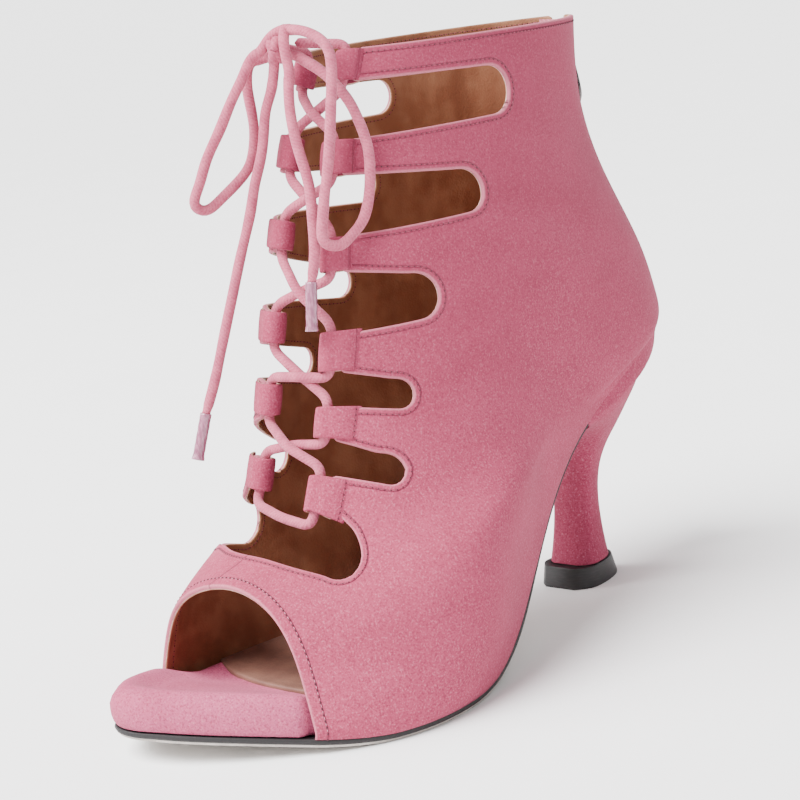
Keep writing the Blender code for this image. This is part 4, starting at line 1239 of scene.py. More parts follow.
def distance_to(points, sign, lines, reach):
    """Signed distance to the nearest of some lines, and the direction in which it grows."""
    starts = np.concatenate([line[:-1, :3] for line in lines])
    ends = np.concatenate([line[1:, :3] for line in lines])
    tree = kdtree.KDTree(len(starts))
    for number, middle in enumerate((starts + ends) / 2.0):
        tree.insert(middle, number)
    tree.balance()
    distance = np.full(len(points), float(reach))
    direction = np.zeros((len(points), 3))
    for i, point in enumerate(points):
        found = [number for _, number, far in tree.find_n(point, 4) if far < reach + 2.0]
        if not found:
            continue
        a = starts[found]
        b = ends[found]
        along = b - a
        share = ((point - a) * along).sum(axis=1) / np.maximum((along**2).sum(axis=1), 1e-12)
        foot = a + np.clip(share, 0.0, 1.0)[:, None] * along
        away = point - foot
        length = np.sqrt((away**2).sum(axis=1))
        best = length.argmin()
        distance[i] = min(length[best], reach)
        direction[i] = away[best] / max(length[best], 1e-6)
    flip = np.where(sign >= 0, 1.0, -1.0)
    return flip * distance, flip[:, None] * direction


def trim(data, triangles, field, level):
    """The part of a triangle mesh where the field is above a level, and its rim's edges."""
    above = field >= level
    count = above[triangles].sum(axis=1)
    kept = triangles[count == 3].tolist()
    rim = []
    added = []
    crossings = {}

    def crossing(a, b):
        key = (min(a, b), max(a, b))
        if key not in crossings:
            a, b = key
            share = (level - field[a]) / (field[b] - field[a])
            crossings[key] = len(data) + len(added)
            added.append(data[a] + share * (data[b] - data[a]))
        return crossings[key]

    for corners in triangles[(count == 1) | (count == 2)].tolist():
        inside = [above[i] for i in corners]
        first = inside.index(True) if sum(inside) == 1 else inside.index(False)
        a, b, c = corners[first:] + corners[:first]
        if above[a]:
            p = crossing(a, b)
            q = crossing(a, c)
            kept.append([a, p, q])
            rim.append((p, q))
        else:
            p = crossing(a, b)
            q = crossing(a, c)
            kept.append([p, b, c])
            kept.append([p, c, q])
            rim.append((q, p))
    return np.concatenate([data, np.array(added)]), np.array(kept), rim


def chains_of(edges):
    """Directed edges joined into chains of vertices, closed ones ending on their start."""
    following = dict(edges)
    starts = set(following) - set(following.values())
    order = sorted(starts) + sorted(following)
    chains = []
    used = set()
    for start in order:
        if start in used:
            continue
        chain = [start]
        used.add(start)
        while chain[-1] in following:
            step = following[chain[-1]]
            chain.append(step)
            if step in used:
                break
            used.add(step)
        chains.append(chain)
    return chains


class Hide:
    """The trimmed skin of the upper: points, directions and fields over the last."""

    COLUMNS = 300
    ROWS = 128
    ABOVE = 3
    STEP = 1.2
    REACH = 14.0

    def __init__(self):
        grid = last_surface(self.COLUMNS, self.ROWS)
        # A few more rows go above the collar's edge, where the field is negative.
        above = np.arange(self.ABOVE, 0, -1)
        over = grid[0] + above[:, None, None] * unit(grid[0] - grid[2]) * self.STEP
        steps = np.linalg.norm(np.diff(grid, axis=0), axis=2)
        below_collar = np.concatenate([
            np.repeat(-above[:, None] * self.STEP, self.COLUMNS, axis=1),
            np.zeros((1, self.COLUMNS)), np.cumsum(steps, axis=0),
        ])
        grid = np.concatenate([over, grid])
        rows = len(grid)
        around = np.roll(grid, -1, axis=1) - np.roll(grid, 1, axis=1)
        down = np.gradient(grid, axis=0)
        normal = unit(np.cross(down, around))
        middle = grid.mean(axis=1, keepdims=True)
        if ((grid - middle) * normal).sum() < 0:
            normal = -normal
        grid = grid + WALL * normal
        # The suede is pulled in under its lower edge, all round.
        for row, tuck in ((-2, 0.12), (-1, 0.6)):
            grid[row] -= tuck * normal[row]
        grid[-1, :, 2] = sole_top(grid[-1, :, 1])
        self.points = grid.reshape(-1, 3)
        self.normal = normal.reshape(-1, 3)
        index = np.arange(rows * self.COLUMNS).reshape(rows, self.COLUMNS)
        a = index[:-1]
        b = index[1:]
        c = np.roll(b, -1, axis=1)
        d = np.roll(a, -1, axis=1)
        quads = np.stack([a, b, c, d], axis=2).reshape(-1, 4)
        self.triangles = np.concatenate([quads[:, [0, 1, 2]], quads[:, [0, 2, 3]]])
        corner = self.points[self.triangles[0]]
        if np.cross(corner[1] - corner[0], corner[2] - corner[0]).dot(self.normal[0]) < 0:
            self.triangles = self.triangles[:, ::-1]
        self.bottom = index[-1]
        cut = np.minimum(cut_field(self.points), below_collar.reshape(-1))
        toe_cut = toe_edge(self.points[:, 0], self.points[:, 2]) - self.points[:, 1]
        self.edge, edge_way = self.distance(cut)
        self.toe, toe_way = self.distance(toe_cut)
        nearer_toe = self.toe < self.edge
        self.rim = np.where(nearer_toe, self.toe, self.edge)
        self.way = np.where(nearer_toe[:, None], toe_way, edge_way)
        self.seam = self.points[:, 0] - vamp_seam(self.points[:, 1])
        self.sink = self.crease_depth()

    def distance(self, cut):
        """Signed distance to the lines where a cut's field is zero, and the way it grows."""
        found = level_lines(self.points, cut, self.triangles, 0.0)
        return distance_to(self.points, cut, [even_steps(line, 0.6) for line in found], self.REACH)

    def crease_depth(self):
        """Millimetres that the skin sinks below the last, from the table of creases."""
        across, ahead, height = self.points.T
        depth = np.zeros(len(across))
        for side, at, level, half_length, half_width, degrees, deep in CREASES:
            turn = math.radians(degrees)
            along = (ahead - at) * math.cos(turn) + (height - level) * math.sin(turn)
            off = -(ahead - at) * math.sin(turn) + (height - level) * math.cos(turn)
            off += 0.004 * along**2
            near = ease(0.5 + side * across / 24.0)
            depth += near * deep * np.exp(-(along / half_length) ** 2 - (off / half_width) ** 2)
        return depth * ease(self.rim / 6.0)

    def rows(self):
        """All values at each vertex in one table."""
        return np.concatenate([
            self.points - self.sink[:, None] * self.normal, self.normal, self.way,
            self.edge[:, None], self.toe[:, None], self.seam[:, None],
        ], axis=1)


def vamp_seam(ahead):
    """Where the centre seam lies across the shoe: straight up the back, aslant on the vamp."""
    return np.interp(ahead, (60.0, 150.0, 172.0, 190.0), (0.0, 0.0, -3.0, -11.0))


def make_upper(hide, suede_skin, edge_skin, lining_skin):
    # Profile of the cut edge: outward past the rim, below the face; material of the band.
    corner = 0.55
    profile = (
        (0.5 * corner, -0.13 * corner, 0), (0.86 * corner, -0.5 * corner, 0),
        (1.0 * corner, -1.0 * corner, 0), (1.05 * corner, -1.1, 0),
        (1.0 * corner, -1.42, 1), (0.7 * corner, -1.66, 2), (0.35 * corner, -1.76, 2),
    )
    data, triangles, rim = trim(hide.rows(), hide.triangles, hide.rim, corner)
    used = np.unique(triangles)
    renumber = np.full(len(data), -1)
    renumber[used] = np.arange(len(used))
    data = data[used]
    triangles = renumber[triangles]
    rim = [(renumber[a], renumber[b]) for a, b in rim]
    bottom = [renumber[i] for i in hide.bottom]
    count = len(data)
    place = data[:, :3]
    normal = unit(data[:, 3:6])
    way = unit(data[:, 6:9])
    outward = -unit(way - (way * normal).sum(axis=1, keepdims=True) * normal)

    points = [place, place - WALL * normal]
    faces = [*triangles.tolist(), *(triangles[:, ::-1] + count).tolist()]
    slots = [0] * len(triangles) + [2] * len(triangles)
    attributes = [data[:, 9:12], data[:, 9:12]]
    total = 2 * count
    for chain in chains_of(rim):
        closed = chain[0] == chain[-1]
        chain = np.array(chain[:-1] if closed else chain)
        if closed:
            along = np.roll(place[chain], -1, axis=0) - np.roll(place[chain], 1, axis=0)
        else:
            along = np.gradient(place[chain], axis=0)
        out = unit(np.cross(along, normal[chain]))
        if (out * outward[chain]).sum() < 0.0:
            out = -out
        for _ in range(3):
            softened = (np.roll(out, 1, axis=0) + 2.0 * out + np.roll(out, -1, axis=0)) / 4.0
            if not closed:
                softened[[0, -1]] = out[[0, -1]]
            out = unit(softened)
        ring = [chain]
        for reach, depth, _ in profile:
            points.append(place[chain] + reach * out + depth * normal[chain])
            values = data[chain, 9:12].copy()
            values[:, :2] -= reach
            attributes.append(values)
            ring.append(total + np.arange(len(chain)))
            total += len(chain)
        ring.append(chain + count)
        bands = [band for _, _, band in profile] + [2]
        steps = len(chain) if closed else len(chain) - 1
        for row, band in enumerate(bands):
            for i in range(steps):
                j = (i + 1) % len(chain)
                faces.append([ring[row][j], ring[row][i], ring[row + 1][i], ring[row + 1][j]])
                slots.append(band)
    for i, j in zip(bottom, bottom[1:] + bottom[:1]):
        if i >= 0 and j >= 0:
            faces.append([i, i + count, j + count, j])
            slots.append(0)
    piece = make_object(
        "suede_upper", to_world(np.concatenate(points)), faces,
        [suede_skin, edge_skin, lining_skin], slots,
    )
    attributes = np.concatenate(attributes)
    for column, name in enumerate(FIELDS):
        set_attribute(piece, name, attributes[:, column])
    return rides(piece, ["upper"])


# ------------------------------------------------------------------ lace loops

def loop_seam(side, level):
    return LOOP_SEAMS[level - 1] if side > 0.0 else LOOP_SEAM


def fold_line(seam):
    """Middle line of a strap's folded end, cut across: (distance from the edge, rise)."""
    radius = LOOP_RADIUS - LOOP_THICK / 2.0
    squeeze = (seam - 3.0) / (LOOP_SEAM - 3.0)
    line = [
        (4.2 + (reach - 4.2) * squeeze, rise)
        for reach, rise in ((12.6, 0.9), (11.7, 1.45), (10.4, 2.05), (8.6, 2.6), (6.4, 3.0))
    ]
    for degrees in range(75, 286, 15):
        turn = math.radians(degrees)
        line.append((LOOP_CENTRE + radius * math.cos(turn), LOOP_RISE + radius * math.sin(turn)))
    line += [(5.6, -2.0), (6.8, -1.5), (7.8, -0.8)]
    return smooth_route(line, 0.55)


def strap_section(middle, half):
    """Round a strip once from its outer face, with round edges: (height, offset, material)."""
    edge = LOOP_THICK / 2.0
    section = []
    for sign in (1.0, -1.0):
        for share in np.linspace(-sign, sign, 9):
            section.append((middle + share * (half - edge), sign * edge, 0))
        for turn in np.linspace(0.0, math.pi, 7)[1:-1]:
            height = middle + sign * (half - edge + edge * math.sin(turn))
            offset = sign * edge * math.cos(turn)
            section.append((height, offset, int(offset < 0.05)))
    return section


def make_loops(face, suede_skin, edge_skin):
    pieces = []
    for side, level, bottom, top in each_loop():
        seam = loop_seam(side, level)
        line = fold_line(seam)
        across = unit(np.gradient(line, axis=0))
        normal = np.stack([across[:, 1], -across[:, 0]], axis=1)
        half = (top - bottom) / 2.0
        middle = (top + bottom) / 2.0
        section = strap_section(middle, half)
        rings = []
        for height, offset, _ in section:
            out = line + offset * normal
            puff = 0.22 * math.cos((height - middle) / half * 1.2) * np.sign(offset)
            out = out + puff * normal * ease((seam + 0.6 - line[:, :1]) / 3.0)
            here = face.walk(side, height, out[:, 0], out[:, 1])
            if side > 0.0:
                share = 0.5 + (height - middle) / (2.0 * half)
                slope_top, slope_bottom = LOOP_SLOPES[level - 1]
                slope = slope_bottom * (1.0 - share) + slope_top * share
                drop = slope * np.maximum(0.0, line[:, :1] - LOOP_RADIUS)
                here = here + drop * (face.walk(side, height + 1.0, out[:, 0], out[:, 1]) - here)
            rings.append(here)
        rings = np.array(rings).transpose(1, 0, 2)
        rows, size = rings.shape[:2]
        bands = [min(section[i][2], section[(i + 1) % size][2]) for i in range(size)]
        piece = make_object(
            f"fold_{level}_{'outer' if side > 0 else 'inner'}", to_world(rings.reshape(-1, 3)),
            band_faces(rows, size) + cap_faces(rows, size), [suede_skin, edge_skin],
            bands * (rows - 1) + [1, 1],
        )
        fade = [max(half - abs(height - middle), 0.0) + 4.0 for height, _, _ in section]
        behind = np.abs(line[:, 0] - seam) + (line[:, 1] < 0.0) * 9.0
        for name, values in zip(FIELDS, (np.tile(fade, rows), FAR, np.repeat(behind, size))):
            set_attribute(piece, name, values)
        face_outward(piece)
        pieces.append(piece)
    return rides(join("strap_folds", pieces), ())


# ------------------------------------------------------------------ stitches

def stitch_tree():
    """Geometry Nodes: a dark bead at each point of a line, painted shade for its needle hole, and a
    stitch on each edge.
    """
    tree = bpy.data.node_groups.new("stitch_row", "GeometryNodeTree")
    face = tree.interface
    face.new_socket("Geometry", in_out="INPUT", socket_type="NodeSocketGeometry")
    sizes = {}
    for kind, names in (
        ("Float", ("Stitch length", "Stitch width", "Hole width")),
        ("Material", ("Thread", "Hole")),
    ):
        for name in names:
            socket = face.new_socket(name, in_out="INPUT", socket_type="NodeSocket" + kind)
            sizes[name] = socket.identifier
    face.new_socket("Geometry", in_out="OUTPUT", socket_type="NodeSocketGeometry")
    given = add(tree, "NodeGroupInput").outputs
    length, width, hole = [
        maths(tree, "MULTIPLY", given[name], 0.5 * MM)
        for name in ("Stitch length", "Stitch width", "Hole width")
    ]
    bead = add(tree, "GeometryNodeMeshUVSphere", {"Segments": 6, "Rings": 4, "Radius": 1.0})
    ends = add(tree, "GeometryNodeInputMeshEdgeVertices")
    along = add(
        tree, "ShaderNodeVectorMath",
        {0: ends.outputs["Position 2"], 1: ends.outputs["Position 1"]}, operation="SUBTRACT",
    )
    kept = add(
        tree, "GeometryNodeCaptureAttribute", {"Geometry": given["Geometry"]}, domain="EDGE",
    )
    kept.capture_items.new("VECTOR", "Along")
    tree.links.new(along.outputs["Vector"], kept.inputs["Along"])
    middles = add(
        tree, "GeometryNodeMeshToPoints", {"Mesh": kept.outputs["Geometry"]}, mode="EDGES",
    )
    turned = add(
        tree, "FunctionNodeAlignRotationToVector", {"Vector": kept.outputs["Along"]}, axis="X",
    )
    scale = add(tree, "ShaderNodeCombineXYZ", {"X": length, "Y": width, "Z": width})
    threads = add(
        tree, "GeometryNodeInstanceOnPoints",
        {"Points": middles.outputs["Points"], "Instance": bead.outputs["Mesh"],
         "Rotation": turned.outputs["Rotation"], "Scale": scale.outputs["Vector"]},
    )
    corners = add(
        tree, "GeometryNodeMeshToPoints", {"Mesh": given["Geometry"]}, mode="VERTICES",
    )
    holes = add(
        tree, "GeometryNodeInstanceOnPoints",
        {"Points": corners.outputs["Points"], "Instance": bead.outputs["Mesh"], "Scale": hole},
    )
    both = add(tree, "GeometryNodeJoinGeometry")
    for made, finish in ((threads, "Thread"), (holes, "Hole")):
        real = add(tree, "GeometryNodeRealizeInstances", {"Geometry": made.outputs["Instances"]})
        painted = add(
            tree, "GeometryNodeSetMaterial",
            {"Geometry": real.outputs["Geometry"], "Material": given[finish]},
        )
        tree.links.new(painted.outputs["Geometry"], both.inputs["Geometry"])
    smooth = add(tree, "GeometryNodeSetShadeSmooth", {"Geometry": both.outputs["Geometry"]})
    add(tree, "NodeGroupOutput", {"Geometry": smooth.outputs["Geometry"]})
    return tree, sizes


def nodes_to_mesh(name, guide, tree, values):
    """Runs a node tree on a guide object and keeps the result as a plain mesh."""
    modifier = guide.modifiers.new("made", "NODES")
    modifier.node_group = tree
    for identifier, value in values.items():
        modifier[identifier] = value
    mesh = evaluated_mesh(guide)
    mesh.name = name
    bpy.data.objects.remove(guide, do_unlink=True)
    return placed(name, mesh)


def runs_of(line, keep, least):
    """The stretches of a line whose points are kept, each with at least some points."""
    runs = []
    current = []
    for point, wanted in zip(line, keep):
        if wanted:
            current.append(point)
        elif current:
            runs.append(np.array(current))
            current = []
    if current:
        runs.append(np.array(current))
    return [run for run in runs if len(run) >= least]


def stitch_rows(name, rows, tree, sizes, values):
    """Stitches along rows of world points; a row's points are its needle holes."""
    points = np.concatenate(rows)
    edges = []
    first = 0
    for row in rows:
        edges += [(first + i, first + i + 1) for i in range(len(row) - 1)]
        first += len(row)
    mesh = bpy.data.meshes.new(name + "_line")
    mesh.from_pydata(points.tolist(), edges, [])
    settings = {sizes[key]: value for key, value in values.items()}
    return nodes_to_mesh(name, placed(name + "_line", mesh), tree, settings)


def make_stitches(hide, face, dark, pale, hole):
    tree, sizes = stitch_tree()
    table = hide.rows()
    outer_rows = []
    inner_rows = []
    toe_rows = []

    def sew(rows, run):
        """A row in the suede and the same row on the lining."""
        for kept, sink in ((rows, STITCH_SINK), (inner_rows, WALL - 0.05)):
            kept.append(to_world(run[:, :3] - sink * run[:, 3:6]))

    for line in level_lines(table, hide.edge, hide.triangles, EDGE_STITCH):
        line = even_steps(line, PITCH / 2.0)
        across, ahead, height = line[:, :3].T
        near_fold = np.zeros(len(line), bool)
        for side in (1.0, -1.0):
            reach = side * (across - throat_edge(height, side))
            near_fold |= (reach > LOOP_ZONE[0]) & (reach < LOOP_ZONE[1])
        near_fold &= (ahead > 120.0) & (height > 58.0)
        for run in runs_of(line, ~near_fold & (line[:, 10] > 3.0), 5):
            sew(outer_rows, even_steps(run, PITCH))
    for line in level_lines(table, hide.toe, hide.triangles, TOE_STITCH):
        line = even_steps(line, PITCH)
        for run in runs_of(line, line[:, 9] > 2.4, 4):
            sew(toe_rows, run)
    for side, level, bottom, top in each_loop():
        heights = np.linspace(bottom + 0.7, top - 0.9, round((top - bottom) / 1.4))
        seam = loop_seam(side, level)
        if side > 0.0:
            slope_top, slope_bottom = LOOP_SLOPES[level - 1]
            share = np.linspace(0.0, 1.0, len(heights))
            slope = slope_bottom + (slope_top - slope_bottom) * share
            heights = heights + slope * (seam - LOOP_RADIUS)
        row = [face.walk(side, height, seam, WALL + 0.3)[0] for height in heights]
        outer_rows.append(to_world(np.array(row)))
    sewn = {
        "Thread": dark, "Hole": hole, "Stitch width": 0.34, "Stitch length": 0.95,
        "Hole width": 0.5,
    }
    # Along the toe: a paler thread, partly painted highlight, and wider dark beads as painted shade
    # in the holes.
    fine = {"Thread": pale, "Hole width": 0.62, "Stitch width": 0.3}
    for name, rows, other in (
        ("edge_stitches", outer_rows, {}), ("toe_stitches", toe_rows, fine),
        ("lining_stitches", inner_rows, {}),
    ):
        rides(stitch_rows(name, rows, tree, sizes, {**sewn, **other}))


# ------------------------------------------------------------------ sole, footbed and heel

def past_opening(ahead, start, length):
    """0 inside the upper, 1 where the sole stands free in front of the toe opening."""
    return ease((ahead - TOE_OPENING - start) / length)


def tool(name, outline, low, high, start, end, count):
    """A cutter along the sole line, wider than the shoe, between two heights above the line."""
    inset = -9.0
    drawn = outline.drawn(inset)[:, 1]
    first = max(start, drawn.min() + 0.03)
    last = min(end, drawn.max() - 0.03)
    sections = []
    for share in (1.0 - np.cos(np.linspace(0.0, math.pi, count))) / 2.0:
        ahead = first + share * (last - first)
        across = np.repeat(outline.edges(ahead, inset), 2)
        up = np.array([low, high, high, low])
        sections.append(to_world(over_sole(across, np.full(4, ahead), up)))
    return loft(name, sections, [])


def pad(name, outline, profile, start, materials, front=None, slots=None, sharp=50.0):
    """A layer of the sole from nested rings, closed below and above from side to side.

    Profile rows are (inset, height above the sole line). An inset is a number or a function of
    the places across and ahead, and a height is a number or a function of the place ahead. The
    layer starts at a straight line, and a front line may cut its tip short. Slots give the
    material of the underside and of each band.
    """
    count = 130
    soft = 1.6
    slots = slots or [0] * len(profile)
    rings = []
    for inset, rise in profile:
        gap = inset(*outline.ring.T) if callable(inset) else np.full(len(outline.ring), inset)
        ring = outline.ring + gap[:, None] * outline.inward
        if front is not None:
            limit = front(ring[:, 0]) - inset
            ring[:, 1] = -soft * np.logaddexp(-ring[:, 1] / soft, -limit / soft)
        sides = []
        for side in two_sides(ring):
            ahead = np.maximum.accumulate(side[:, 1])
            first = max(start, ahead[0])
            kept = side[ahead > first]
            kept = np.concatenate([[[np.interp(first, ahead, side[:, 0]), first]], kept])
            knots = chord_knots(kept)
            at = np.linspace(0.0, knots[-1], count)
            sides.append(np.stack([np.interp(at, knots, kept[:, k]) for k in (0, 1)], axis=1))
        across, ahead = np.concatenate([sides[0], sides[1][-2::-1]]).T
        rings.append(over_sole(across, ahead, rise(ahead) if callable(rise) else rise))
    size = 2 * count - 1
    faces = band_faces(len(rings), size)
    bands = np.repeat(slots[1:], size).tolist()
    for low, band in ((0, slots[0]), ((len(rings) - 1) * size, 0)):
        for i in range(count - 1):
            # At the tip both sides share one point, so that the last face has three corners.
            corners = (low + i, low + i + 1, low + size - 2 - i, low + size - 1 - i)
            faces.append(tuple(dict.fromkeys(corners)))
            bands.append(band)
    piece = make_object(name, to_world(np.concatenate(rings)), faces, materials, bands)
    face_outward(piece, sharp)
    return piece


def make_sole(outline, board, bottom):
    def drawn_in(extra, waist):
        return lambda across, ahead: (
            OUTSOLE_EDGE - WALL + 0.6 * past_opening(ahead, 1.0, 5.0) + extra
            + waist * ease((130.0 - ahead) / 20.0)
        )

    rows = (
        # inset  more of it at the waist  height above the floor face  material
        (6.0, 0.0, 0.0, 1), (1.1, 0.7, 0.0, 1), (0.75, 0.7, 0.1, 1), (0.6, 0.6, 0.7, 1),
        (0.35, 0.3, 0.85, 0), (0.05, -0.35, 1.1, 0), (-0.05, -0.35, 1.6, 0),
        (0.1, -0.35, OUTSOLE - 0.15, 0), (0.3, -0.35, OUTSOLE, 0),
    )
    profile = [(drawn_in(inset, waist), rise - OUTSOLE) for inset, waist, rise, _ in rows]
    piece = pad(
        "trimmed_outsole", outline, profile, OUTSOLE_START, [board, bottom],
        slots=[row[3] for row in rows], sharp=35.0,
    )
    rides(piece, ["outsole"])


def footbed_inset(across, ahead):
    inside = WALL + 0.2
    free = ease((ahead - toe_edge(across, 6.0) - 0.4) / 1.8)
    return inside - (inside + RIM_SWELL) * free


def make_footbed(outline, suede_skin, leather):
    def drawn_in(extra):
        return lambda across, ahead: footbed_inset(across, ahead) + extra

    def risen(height, extra):
        return lambda ahead: height + extra * past_opening(ahead, -14.0, 22.0)

    rim = (
        # inset  height  more of it at the toe
        (1.6, GAP, 0.0), (0.9, 0.5, 0.1), (0.35, 1.2, 0.3), (0.08, 2.2, 0.7), (0.0, 3.4, 1.2),
        (0.12, 4.6, 1.8), (0.55, 5.7, 2.5), (1.3, 6.6, 3.0), (2.4, 7.2, 3.5), (3.8, 7.5, 3.8),
        (5.4, 7.45, 3.8), (7.5, 7.1, 3.6), (10.0, 6.6, 3.3), (12.0, 6.4, 3.1),
    )
    profile = tuple((drawn_in(inset), risen(rise, extra)) for inset, rise, extra in rim)
    piece = pad("wrapped_footbed", outline, profile, 0.0, [suede_skin])
    for name in FIELDS:
        set_attribute(piece, name, FAR)
    rides(piece, ["footbed"])

    low = FOOTBED - BED_DISH + GAP
    edge = (
        (4.0, low - 0.8), (3.7, low), (3.6, low + 0.8), (3.8, low + 1.15), (4.3, low + 1.35),
        (5.6, low + 1.4),
    )

    def front(across):
        return SOCK_END - 0.008 * (across - 5.0) ** 2

    profile = tuple((inset, risen(rise, 3.1)) for inset, rise in edge)
    piece = pad("sock_pad", outline, profile, 0.0, [leather], front)
    rides(piece, ["sock_lining"])


def heel_rings(outline, rows, levels, count=20):
    """Levels of the heel: rounded at the back, nearly flat at the breast."""
    rows = np.array(rows)
    knots = np.linspace(0.0, 1.0, len(rows))
    inset = HEEL_SEAT_EDGE - WALL
    seat_back = outline.drawn(inset)[:, 1].min()
    rings = []
    for back, back_z, front, front_z, half_width, seat_share in spline(
        knots, rows, np.linspace(0.0, 1.0, levels)
    ):
        seat_share = min(1.0, max(0.0, seat_share))
        ring = []
        for sign in (1, 0):
            half = []
            for k in range(count + 1):
                share = 1.0 - math.cos(math.pi * k / count * 0.5) if k < count else 1.0
                bulge = math.sqrt(1.0 - (1.0 - share) ** 2.6)
                corner = 1.0 - 0.45 * max(0.0, (share - 0.72) / 0.28) ** 2.2
                ahead = back + share * (front - back)
                column = half_width * bulge * corner * (1 if sign else -1)
                seat = outline.edges(seat_back + share * (front - back), inset)[sign]
                across = column * (1.0 - seat_share) + seat * seat_share
                if k == 0:
                    across = 0.0
                half.append((across, ahead, max(0.0, back_z + share * (front_z - back_z))))
            ring.append(half)
        rings.append(to_world(ring[0] + ring[1][:0:-1]))
    return rings


def carve(piece, cutter):
    """Takes a cutter's solid out of a piece and keeps the result as its mesh."""
    modifier = piece.modifiers.new("carve", "BOOLEAN")
    modifier.operation = "DIFFERENCE"
    modifier.solver = "EXACT"
    modifier.object = cutter
    mesh = evaluated_mesh(piece)
    piece.modifiers.clear()
    piece.data = mesh
    bpy.data.objects.remove(cutter, do_unlink=True)


def make_heel(outline, suede_skin, rubber):
    heel = loft("covered_heel", heel_rings(outline, HEEL_ROWS, 72), [suede_skin])
    carve(heel, tool("seat_tool", outline, -0.1, 24.0, -9.0, 90.0, 60))
    carve(heel, tool("sole_tool", outline, -OUTSOLE - GAP, 6.0, OUTSOLE_START - 0.4, 95.0, 20))
    heel.data.shade_smooth()
    heel.data.set_sharp_from_angle(angle=math.radians(40.0))
    # The cover's seam runs down the back.
    seam = [abs(v.co.x) / MM if v.co.y < 0.125 else FAR for v in heel.data.vertices]
    for name, values in zip(FIELDS, (FAR, FAR, seam)):
        set_attribute(heel, name, values)
    rides(heel, ["heel"])
    tip = loft("top_lift", heel_rings(outline, HEEL_TIP_ROWS, 15), [rubber], 60.0)
    rides(tip, ["heel_tip"])


# ------------------------------------------------------------------ zip

class BackLine:
    """The back seam of the last: a point and its outward direction at a height."""

    def __init__(self):
        self.line = last_surface(48, 160)[::-1, 0, 1:]

    def at(self, height):
        ahead = np.interp(height, self.line[:, 1], self.line[:, 0])
        lean = (np.interp(height + 1, self.line[:, 1], self.line[:, 0])
                - np.interp(height - 1, self.line[:, 1], self.line[:, 0])) / 2.0
        length = math.hypot(1.0, lean)
        return np.array([0.0, ahead, height]), np.array([0.0, -1.0 / length, lean / length])

    def place(self, across, reach, height):
        point, out = self.at(height)
        return point + reach * out + np.array([across, 0.0, 0.0])


def make_zip(back, tape_cloth, metal):
    deep = -2.0 * GAP
    half = np.linspace(-TAPE_HALF, TAPE_HALF, 9)
    sections = []
    for height in np.linspace(ZIP_BOTTOM - 6.0, TAPE_TOP, 40):
        ring = []
        for line, reach in ((half, deep - TAPE_THICK), (half[::-1], deep)):
            ring += [
                back.place(x, reach - TAPE_BOW * (x / TAPE_HALF) ** 2, height) for x in line
            ]
        sections.append(to_world(ring))
    rides(loft("woven_tape", sections, [tape_cloth]), ["zip_tape"])

    points = []
    heights = np.linspace(ZIP_BOTTOM + 1.2, SLIDER_BOTTOM - 0.8, ZIP_TEETH)
    for number, height in enumerate(heights):
        side = 1.0 if number % 2 else -1.0
        for reach, half in ((deep + GAP, 0.62), (WALL - 0.6, 0.42)):
            slim = 0.8 * half
            for across, rise in ((-0.55, -half), (-0.55, half), (2.2, slim), (2.2, -slim)):
                points.append(back.place(across * side, reach, height + rise))
    box = ((0, 1, 2, 3), (7, 6, 5, 4), (0, 4, 5, 1), (1, 5, 6, 2), (2, 6, 7, 3), (3, 7, 4, 0))
    faces = [tuple(first + i for i in face) for first in range(0, len(points), 8) for face in box]
    piece = make_object("zip_teeth_row", to_world(points), faces, [metal], smooth=False)
    face_outward(piece)
    rides(piece, ["zip_teeth"])

    body = []
    for share in np.linspace(0.0, 1.0, 9):
        height = SLIDER_BOTTOM + share * (SLIDER_TOP - SLIDER_BOTTOM)
        half = 1.5 + 0.8 * math.sin(math.pi * (0.25 + 0.6 * share))
        crown = WALL + 0.75 + 0.5 * math.sin(math.pi * share)
        top = [(half, crown - 0.5), (0.8 * half, crown - 0.12), (0.4 * half, crown)]
        ring = [(-half, deep + GAP), (half, deep + GAP), *top, *[(-x, y) for x, y in top[::-1]]]
        body.append(to_world([back.place(x, reach, height) for x, reach in ring]))
    plate = loft("slider_body", body, [metal], 35.0)
    bridge = [
        back.place(0.0, WALL + reach - 0.3, height)
        for height, reach in ((166.6, 0.6), (167.2, 1.7), (168.8, 2.2), (170.4, 1.9), (171.6, 0.8))
    ]
    arch = tube("bridge", to_world(smooth_route(bridge, 0.4)), 0.5 * MM, metal, 8)
    rides(join("zip_slider_body", [plate, arch]), ["zip_slider"])


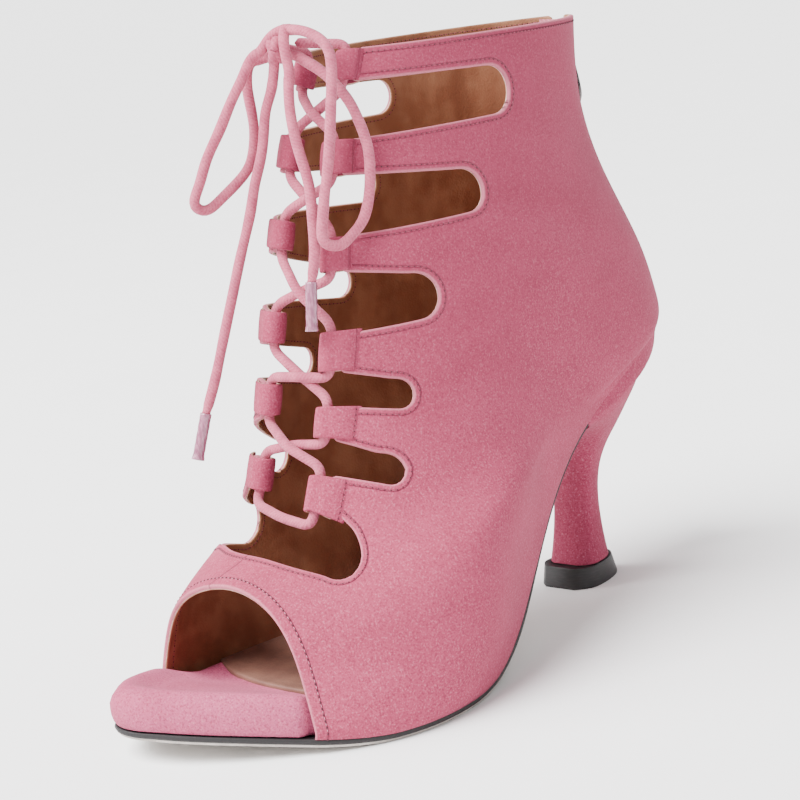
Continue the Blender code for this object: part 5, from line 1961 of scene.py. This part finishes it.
def make_pull(metal):
    """A long drop-shaped tab with a raised border, inside the solid's own box."""
    low, high = [np.array(corner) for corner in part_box("zip_pull")]
    middle = (low + high) / 2.0
    length = high[2] - low[2]
    border = (high[1] - low[1]) / 2.0
    plate = border * 0.55
    widths = np.array([
        # share of the length below the top, half-width in millimetres
        (0.0, 0.3), (0.02, 0.9), (0.06, 1.3), (0.12, 1.45), (0.25, 1.5), (0.5, 2.35), (0.7, 3.0),
        (0.82, 2.95), (0.92, 2.1), (0.98, 1.0), (1.0, 0.25),
    ])
    at = np.linspace(0.0, 1.0, 48)
    half = np.maximum(spline(widths[:, 0], widths[:, 1:], at)[:, 0], 0.2) * MM
    sections = []
    for share, width in zip(at, half):
        inner = max(width - 0.55 * MM, 0.4 * width)
        corner = (
            (width, border * 0.6), (width * 0.96, border), (inner, border), (inner * 0.9, plate),
        )
        ring = []
        for x, y, part in (
            (-1.0, -1.0, corner), (1.0, -1.0, corner[::-1]), (1.0, 1.0, corner),
            (-1.0, 1.0, corner[::-1]),
        ):
            for across, thick in part:
                place = (middle[0] + x * across, middle[1] + y * thick, high[2] - share * length)
                ring.append(place)
        sections.append(ring)
    piece = loft("drop_pull", sections, [metal], 30.0)
    rides(piece, ["zip_pull"], "zip_pull")


# ------------------------------------------------------------------ all together

def main():
    make_camera()
    face = FrontFace()
    yarn = lace_cord()
    make_lace(face, yarn, lace_film())
    make_studio()
    skin = suede()
    cut = raw_edge()
    tan = lining()
    hide = Hide()
    make_upper(hide, skin, cut, tan)
    make_loops(face, skin, cut)
    dark = thread("maroon_thread", "#7a2b3f", "#9a4459")
    # Painted highlight in part: the toe row's thread is paler than the maroon, for the glint on it.
    pale = thread("pink_thread_glint", "#b4607a", "#cc7f94")
    # Painted shade: the near-black beads at the needle holes stand for the shade inside the holes.
    hole = thread("needle_hole_shade", "#3d1420", "#4f1c2a")
    make_stitches(hide, face, dark, pale, hole)
    outline = Outline()
    make_sole(outline, sole_board(), sole_suede())
    # Painted light: the footbed's copy of the suede is paler and more lilac than the upper's, for
    # the light on its rim.
    make_footbed(outline, suede("suede_wrapped_board", "#a94c6b", "#b65778"), sock_leather())
    make_heel(outline, skin, lift_rubber())
    metal = zip_metal()
    make_zip(BackLine(), zip_tape(), metal)
    make_pull(metal)


main()
